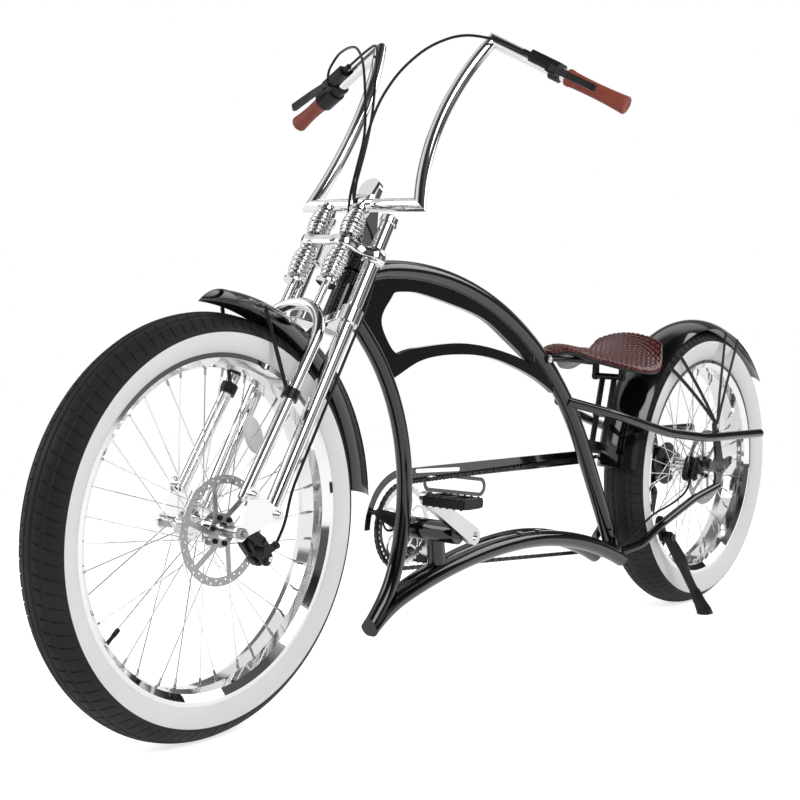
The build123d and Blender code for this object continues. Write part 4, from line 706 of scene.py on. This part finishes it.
def wind(work, base, axis, length, turns, wide, wire):
    """A barrel coil from a base along an axis, its wire a tube of eight sides."""
    side = across.normalized()
    other = axis.cross(side)
    steps = turns * 20
    line = []
    for k in range(steps + 1):
        share = k / steps
        radius = wide * (0.74 + 0.26 * math.sin(math.pi * share)) - wire
        a = 2 * math.pi * turns * share
        eased = share + 0.02 * math.sin(4 * math.pi * share)
        out_way = side * math.cos(a) + other * math.sin(a)
        line.append(base + axis * (wire + (length - 2 * wire) * eased) + out_way * radius)
    rings = []
    for k, co in enumerate(line):
        run_way = (line[min(k + 1, steps)] - line[max(k - 1, 0)]).normalized()
        out_way = (co - base - axis * (co - base).dot(axis)).normalized()
        up_way = run_way.cross(out_way).normalized()
        ring = []
        for n in range(8):
            a = math.pi * n / 4
            ring.append(work.verts.new(co + (out_way * math.cos(a) + up_way * math.sin(a)) * wire))
        rings.append(ring)
    for low, high in zip(rings, rings[1:]):
        for n in range(8):
            work.faces.new((low[n], low[(n + 1) % 8], high[(n + 1) % 8], high[n])).smooth = True
    work.faces.new(rings[0])
    work.faces.new(rings[-1])


work = bmesh.new()
coil_places = []
for group in loose_parts(NODES["fork_springs"].data):
    middle = sum(group, Vector()) / len(group)
    low = min((co - middle).dot(spring_way) for co in group)
    high = max((co - middle).dot(spring_way) for co in group)
    if high - low > 0.03:
        wind(work, middle + spring_way * low, spring_way, high - low, 7, 0.0205, 0.0031)
        coil_places.append(middle)
springs = close_piece("spring_coils", work, [FINISH["chrome"]], "fork")
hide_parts("fork_springs")
print("coils", len(coil_places))

# %% [markdown]
# ## Mudguard stays
# Two pairs of flat bars fan out from a lug on each dropout to the edge of the rear mudguard.
# Each bar bows a little on its way, so it is swept along a curve of three points, with its
# corners broken by a narrow extra face.

# %% Bend the stays
STAY_LUG = (34.0, 441.0)
GUARD_EDGE = 334.0


def bend_bar(work, points, face, wide, thick):
    """A flat bar along a curve through a start, a pull and an end, in metres."""
    face = face.normalized()
    rings = []
    for k in range(17):
        t = k / 16
        co = points[0] * (1 - t) ** 2 + points[1] * 2 * t * (1 - t) + points[2] * t * t
        run_way = ((points[1] - points[0]) * (1 - t) + (points[2] - points[1]) * t).normalized()
        flank = run_way.cross(face).normalized()
        skin = flank.cross(run_way).normalized()
        w, h, c = wide / 2, thick / 2, thick * 0.25
        shape = ((w, -h + c), (w, h - c), (w - c, h), (c - w, h), (-w, h - c), (-w, c - h), (c - w, -h), (w - c, -h))
        rings.append([work.verts.new(co + flank * u + skin * v) for u, v in shape])
    for low, high in zip(rings, rings[1:]):
        for n in range(8):
            work.faces.new((low[n], low[(n + 1) % 8], high[(n + 1) % 8], high[n]))
    work.faces.new(rings[0])
    work.faces.new(rings[-1])


work = bmesh.new()
for hand in (1, -1):
    foot = spot(STAY_LUG[0], hand * 92, STAY_LUG[1])
    for angle, bow in ((49, 14), (58, 10), (101, -4), (113, -6)):
        turn = math.radians(angle)
        tip = spot(GUARD_EDGE * math.cos(turn), hand * 55.5, REAR_AXLE_HIGH + GUARD_EDGE * math.sin(turn))
        pull = (foot + tip) / 2 + way(-math.sin(turn), 0, math.cos(turn)) * (bow / 1000)
        bend_bar(work, (foot, pull, tip), across, 0.0095, 0.003)
    lug = spot(STAY_LUG[0], hand * 90, STAY_LUG[1])
    turn_into(work, lug, across * hand, [(0, 11), (3, 11), (3.8, 10.2), (3.8, 2)], sides=28)
stays = close_piece("mudguard_stays", work, [FINISH["dark_grey"]], "frame")
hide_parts("fender_stays")

# %% [markdown]
# ## The chain
# A roller chain is a row of rollers between pairs of waisted plates, inner and outer pairs by
# turns. The CAD model draws its long runs as plain bars, so the line of each run is read from
# that bar, and the links are set along it at the real pitch of half an inch.

# %% Chain links
CHAIN_STEEL = finish("oiled chain steel", (0.035, 0.035, 0.036), (0.085, 0.084, 0.082), (0.25, 0.42), metal=1.0,
                     tone_scale=60, grain_scale=900, grain_depth=0.2)
PITCH = 0.0127


def add_plate(work, first, second, side, thick, radius):
    """A waisted link plate between two pins, as a closed flat form."""
    along = (second - first).normalized()
    up_way = across.cross(along)
    middle = (first + second) / 2
    outline = []
    for centre, start_turn in ((second, -90), (first, 90)):
        for step in range(7):
            a = math.radians(start_turn + 30 * step)
            outline.append(centre + along * (radius * math.cos(a)) + up_way * (radius * math.sin(a)))
        outline.append(middle + up_way * (0.68 * radius if start_turn < 0 else -0.68 * radius))
    faces = []
    for shift in (side, side + thick):
        faces.append([work.verts.new(co + across * shift) for co in outline])
    low, high = faces
    work.faces.new(low)
    work.faces.new(high)
    for k in range(len(outline)):
        after = (k + 1) % len(outline)
        work.faces.new((low[k], low[after], high[after], high[k]))


def run_of(node):
    """The two ends of a straight chain run, from its CAD bar."""
    places = [vert.co for vert in NODES[node].data.vertices]
    ends = []
    for pick in (min, max):
        edge = pick(co.x for co in places)
        near = [co for co in places if abs(co.x - edge) < 0.004]
        ends.append(sum(near, Vector()) / len(near))
    return ends


def lay_chain(name, node):
    """Lays links along a chain run in place of its bar."""
    first, second = run_of(node)
    count = round((second - first).length / PITCH)
    step = (second - first) / count
    work = bmesh.new()
    for k in range(count):
        a, b = first + step * k, first + step * (k + 1)
        gap = 0.0023 if k % 2 else 0.0035
        for side in (gap, -gap - 0.0011):
            add_plate(work, a, b, side, 0.0011, 0.0041)
        turn_into(work, a - across * 0.0021, across, [(0, 3.6), (0.3, 3.85), (3.9, 3.85), (4.2, 3.6)], sides=12)
    piece = close_piece(name, work, [CHAIN_STEEL], "frame")
    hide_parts(node)


for node in ("chain_upper", "chain_lower"):
    lay_chain(node + "_links", node)
for node in ("chain_front", "chain_rear", "cassette"):
    NODES[node].data.materials.clear()
    NODES[node].data.materials.append(CHAIN_STEEL)

# %% [markdown]
# ## Brake calipers
# A cable caliper is a small casting: a housing with a round piston cover, two bolt lobes, a
# lever arm that the cable pulls, and a screw for the pad. The CAD caliper is its plain
# envelope, so the casting is built in its place from turned lobes and cut plates.

# %% Cast the calipers
PISTON_COVER = [(0, 14), (14, 14), (15, 16.5), (18, 16.5), (19, 14), (21, 14)]
PISTON_COVER += [(22, 11), (24.5, 10.4), (25, 4.5), (23.5, 4)]
LOBE = [(0, 8.5), (21, 8.5), (22, 7.5), (22, 3.6), (20, 3.4)]
LOBE_BOLT = [(0, 5), (4, 5), (4.8, 4.2), (4.8, 2.4), (2.5, 2.2)]
ARM_KNOB = [(0, 6.4), (3, 6.4), (9, 5.2), (10.5, 4.4), (10.5, 2)]


def slab(work, outline, low, high, chamfer):
    """A cut plate between two distances to the left, its edges chamfered, in millimetres."""
    mid_x = sum(x for x, z in outline) / len(outline)
    mid_z = sum(z for x, z in outline) / len(outline)
    rings = []
    for y, inset in ((low, chamfer), (low + chamfer, 0.0), (high - chamfer, 0.0), (high, chamfer)):
        ring = []
        for x, z in outline:
            reach = math.hypot(x - mid_x, z - mid_z)
            share = (reach - inset) / reach
            x_in, z_in = mid_x + (x - mid_x) * share, mid_z + (z - mid_z) * share
            ring.append(work.verts.new(spot(x_in, y, z_in)))
        rings.append(ring)
    count = len(outline)
    work.faces.new(rings[0])
    work.faces.new(rings[-1])
    for one, two in zip(rings, rings[1:]):
        for k in range(count):
            work.faces.new((one[k], one[(k + 1) % count], two[(k + 1) % count], two[k]))


def stadium(first, second, r1, r2):
    """The outline round two circles, in millimetres."""
    heading = math.atan2(second[1] - first[1], second[0] - first[0])
    outline = []
    for centre, radius, start_turn in ((second, r2, heading - math.pi / 2), (first, r1, heading + math.pi / 2)):
        for step in range(9):
            a = start_turn + math.pi * step / 8
            outline.append((centre[0] + radius * math.cos(a), centre[1] + radius * math.sin(a)))
    return outline


def cast_caliper(name, node, body, first, second, arm_tip, foot, plate):
    """A caliper between two bolt lobes, with its arm and the foot that carries it."""
    work = bmesh.new()
    middle = ((first[0] + second[0]) / 2, (first[1] + second[1]) / 2)
    slab(work, stadium(first, second, 15, 15), 37, 52, 2.0)
    slab(work, stadium(first, second, 13, 13), 62, 68, 1.5)
    slab(work, stadium(first, middle, 9, 12), 52, 62, 0.5)
    turn_into(work, spot(middle[0], 52, middle[1]), across, PISTON_COVER, sides=28)
    for lobe in (first, second):
        turn_into(work, spot(lobe[0], 50, lobe[1]), across, LOBE, sides=20)
        turn_into(work, spot(lobe[0], 70, lobe[1]), across, LOBE_BOLT, sides=6, material=1)
    slab(work, stadium(middle, arm_tip, 9, 5.5), 75, 79, 0.8)
    turn_into(work, spot(arm_tip[0], 72, arm_tip[1]), across, ARM_KNOB, sides=16)
    root, tip = spot(first[0], plate - 3, first[1]), spot(foot[0], plate - 3, foot[1])
    bend_bar(work, (root, (root + tip) / 2, tip), across, 0.017, 0.006)
    turn_into(work, spot(first[0], 70, first[1]), across, [(0, 7), (plate - 71, 7), (plate - 70, 6)], sides=16)
    piece = close_piece(name, work, [FINISH["satin_black"], FINISH["chrome"]], body)
    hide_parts(node)


cast_caliper("front_caliper_casting", "front_caliper", "fork", (1590, 328), (1562, 296), (1553, 318), (1626, 351), 86)
cast_caliper("rear_caliper_casting", "rear_caliper", "frame", (72, 352), (84, 322), (98, 350), (38, 352), 84)

# %% [markdown]
# ## Fasteners
# Socket bolts hold the rockers, the saddle hinge and the left dropout's lugs. Each is a
# stepped, chamfered head with a sunk socket, set on the face that carries it. The CAD rockers
# have a small gap in the middle that the real plates do not have, so a plug closes it.

# %% Bolts on the fork and frame


def bolt(work, x, y, z, hand, size):
    """A socket head facing left (1) or right (-1), its seat at this place."""
    shape = [(-0.6, 1.0), (0.45, 1.0), (0.6, 0.86), (0.6, 0.5), (0.2, 0.44)]
    turn_into(work, spot(x, y, z), across * hand, [(a * size, r * size) for a, r in shape], sides=18)


ROCKER_PLUG = stadium((1611, 378), (1615, 380), 13, 13)
work = bmesh.new()
for hand in (1, -1):
    for x, z in ((1623, 408), (1565.9, 370.9)):
        bolt(work, x, hand * 95.5, z, hand, 6.0)
    low, high = sorted((hand * 86.6, hand * 91.53))
    slab(work, ROCKER_PLUG, low, high, 0.0)
close_piece("fork_bolts", work, [FINISH["chrome"]], "fork")
work = bmesh.new()
for hand in (1, -1):
    bolt(work, 668, hand * 22, 606, hand, 7.0)
for x, z in ((34, 441), (-50, 352)):
    bolt(work, x, 93, z, 1, 5.0)
close_piece("frame_bolts", work, [FINISH["chrome"]], "frame")

# %% [markdown]
# ## Wheel reflector
# A clear oval reflector is clipped between the front spokes. Its face is moulded in small
# prisms, which a fine bump stands for at this size, while the oval and its rim are shaped.

# %% Mould the reflector
CLEAR = finish("clear reflector", (0.62, 0.64, 0.66), (0.8, 0.81, 0.82), (0.12, 0.25), tone_scale=120,
               grain_scale=420, grain_depth=0.8)
work = bmesh.new()
lean_c, lean_s = math.cos(math.radians(62)), math.sin(math.radians(62))
oval = []
for k in range(32):
    a = 2 * math.pi * k / 32
    u, v = 36 * math.cos(a), 19 * math.sin(a)
    oval.append((1538 + u * lean_c - v * lean_s, 494 + u * lean_s + v * lean_c))
slab(work, oval, 2.5, 9, 1.6)
close_piece("spoke_reflector", work, [CLEAR], "front_wheel")

# %% [markdown]
# ## The upper crown
# The upper crown is a cast and polished plate that ties the legs, the steerer and the springs.
# Its wall waves from lobe to lobe without a corner, which gives chrome its soft bands. The
# outline is the level line of a blend of round-ended ties, found outward from the middle, and
# the same blend a little deeper gives the rounded edges.

# %% Cast the crown
HEAD = Vector((1305, 0, 736))
RAKE = math.radians(30.5)
head_up, head_ahead = way(-math.sin(RAKE), 0, math.cos(RAKE)), way(math.cos(RAKE), 0, math.sin(RAKE))
head_spot = spot(*HEAD)
crown_places = [vert.co - head_spot for vert in NODES["upper_crown"].data.vertices]
crown_low = min(co.dot(head_up) for co in crown_places) * 1000 + 4
seat = next(co for co in coil_places if (co - head_spot).dot(across) > 0) - head_spot
seat += spring_way * ((crown_low + 10) / 1000 - seat.dot(head_up)) / spring_way.dot(head_up)
PERCH = seat.dot(head_ahead) * 1000
TIES = [((PERCH, 38), (PERCH, -38), 16)]
for hand in (1, -1):
    TIES += [((0, 0), (39.5, hand * 72), 17), ((39.5, hand * 72), (PERCH, hand * 38), 13)]
    TIES += [((0, 0), (PERCH, hand * 38), 16), ((39.5, hand * 72), (39.5, hand * 72.1), 19.5)]


def tie_gap(u, v):
    """How far a place of the plate is outside the blended ties, in millimetres."""
    total = 0.0
    for (u1, v1), (u2, v2), radius in TIES:
        length = (u2 - u1) ** 2 + (v2 - v1) ** 2
        t = min(max(((u - u1) * (u2 - u1) + (v - v1) * (v2 - v1)) / length, 0.0), 1.0)
        total += math.exp(-(math.hypot(u - u1 - t * (u2 - u1), v - v1 - t * (v2 - v1)) - radius) / 4.0)
    return -4.0 * math.log(total)


def crown_line(inset, count=168):
    """The outline that lies this far inside the plate's wall."""
    middle = PERCH * 0.55
    line = []
    for k in range(count):
        a = 2 * math.pi * k / count
        near, far = 0.0, 140.0
        while far > 1 and tie_gap(middle + far * math.cos(a), far * math.sin(a)) > -inset:
            near, far = far, far - 1.0
        for _ in range(12):
            half = (near + far) / 2
            if tie_gap(middle + half * math.cos(a), half * math.sin(a)) > -inset:
                near = half
            else:
                far = half
        line.append((middle + far * math.cos(a), far * math.sin(a)))
    return line


work = bmesh.new()
rings = []
for along, inset in ((0, 4.5), (1.0, 2.0), (2.6, 0.6), (5, 0.0), (15, 0.0), (17.4, 0.6), (19, 2.0), (20, 4.5)):
    rings.append([
        work.verts.new(head_spot + (head_up * (crown_low + along) + head_ahead * u + across * v) / 1000)
        for u, v in crown_line(inset)
    ])
for low, high in zip(rings, rings[1:]):
    for k in range(len(low)):
        after = (k + 1) % len(low)
        work.faces.new((low[k], low[after], high[after], high[k])).smooth = True
work.faces.new(rings[0])
work.faces.new(rings[-1])
for hand in (1, -1):
    base = head_spot + (head_up * (crown_low - 4) + head_ahead * 39.5 + across * (hand * 72)) / 1000
    turn_into(work, base, head_up, [(0, 17.5), (1.6, 19.5), (26.4, 19.5), (28, 17.5)], sides=40)
crown_piece = close_piece("upper_crown_casting", work, [FINISH["chrome"]], "fork")
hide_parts("upper_crown")

# %% [markdown]
# ## Pedals
# A block pedal is a moulded cage: two end plates, two rails with small studs for the shoe and
# a barrel round the spindle. The CAD block gives its place and its size.


def drawn_box(node):
    """The box of a CAD node in the upright drawing, in millimetres."""
    places = [vert.co - rear_axle for vert in NODES[node].data.vertices]
    box = []
    for axis, shift in ((AHEAD, 0.0), (across, 0.0), (UPRIGHT, REAR_AXLE_HIGH)):
        values = [co.dot(axis) * 1000 + shift for co in places]
        box.append((min(values), max(values)))
    return box


def soft_box(x, z, wide, high, power=6.0, count=28):
    """A rounded rectangle as an outline."""
    outline = []
    for k in range(count):
        a = 2 * math.pi * (k + 0.5) / count
        c, d = math.cos(a), math.sin(a)
        reach = (abs(c) ** power + abs(d) ** power) ** (-1 / power)
        outline.append((x + wide / 2 * reach * c, z + high / 2 * reach * d))
    return outline


STUD = [(0, 2.6), (2.6, 2.2), (3.0, 1.4)]
for node, body in (("pedal_left", "pedal_l"), ("pedal_right", "pedal_r")):
    (x0, x1), (y0, y1), (z0, z1) = drawn_box(node)
    x, z, wide, high = (x0 + x1) / 2, (z0 + z1) / 2, x1 - x0, z1 - z0
    work = bmesh.new()
    for low, up in ((y0, y0 + 9), (y1 - 9, y1), ((y0 + y1) / 2 - 4, (y0 + y1) / 2 + 4)):
        slab(work, soft_box(x, z, wide - 4, high - 3), low, up, 1.6)
    for side in (-1, 1):
        rail = x + side * (wide / 2 - 5)
        slab(work, soft_box(rail, z, 10, high - 4), y0 + 3, y1 - 3, 1.0)
        for k in range(6):
            y = y0 + 10 + k * (y1 - y0 - 20) / 5
            for face in (-1, 1):
                turn_into(work, spot(rail, y, z + face * (high / 2 - 3)), UPRIGHT * face, STUD, sides=10)
    barrel = [(2, 9.5), (14, 9.5), (18, 8.5), (y1 - y0 - 18, 8.5), (y1 - y0 - 14, 9.5), (y1 - y0 - 2, 9.5)]
    turn_into(work, spot(x, y0, z), across, barrel, sides=24)
    piece = close_piece(node + "_cage", work, [FINISH["satin_black"]], body)
    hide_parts(node)

# %% [markdown]
# ## The side stand
# The leg is a casting with a stop boss below its pivot, a slimmer shank and a rubber shoe that
# flares to the ground. It is lofted through rounded sections, and its sole is cut level.

# %% Loft the stand
STAND_TOP, STAND_FOOT = spot(220, 75, 190), spot(126, 127, 10)
leg = STAND_FOOT - STAND_TOP
leg_side = across.cross(leg).normalized()
leg_face = leg.cross(leg_side).normalized()
SECTIONS = (  # share of the leg, width, thickness, shift to the front
    (-0.04, 17, 15, 0), (0.04, 24, 18, 0), (0.16, 29, 19, 2), (0.3, 32, 20, 4), (0.38, 31, 19, 5), (0.43, 24, 16, 2),
    (0.55, 21, 15, 0), (0.68, 21, 15, 0), (0.72, 23, 16, 0), (0.735, 28, 19, 0), (0.86, 29, 20, 0), (0.93, 34, 23, 0),
    (1.0, 41, 27, -1), (1.06, 44, 29, -2),
)
work = bmesh.new()
rings = []
for share, wide, thick, shift in SECTIONS:
    ring = []
    for u, v in soft_box(shift, 0, wide, thick, power=3.2):
        co = STAND_TOP + leg * share + (leg_side * u + leg_face * v) / 1000
        co.z = max(co.z, 0.0002) if share < 1.03 else 0.0
        ring.append(work.verts.new(co))
    rings.append(ring)
for low, high in zip(rings, rings[1:]):
    for k in range(len(low)):
        after = (k + 1) % len(low)
        work.faces.new((low[k], low[after], high[after], high[k])).smooth = True
work.faces.new(rings[0])
work.faces.new(rings[-1])
turn_into(work, spot(220, 66.5, 190), across, [(0, 11.5), (1.5, 13), (15.5, 13), (17, 11.5)], sides=28)
stand_piece = close_piece("side_stand_leg", work, [FINISH["satin_black"]], "stand")
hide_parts("side_stand")
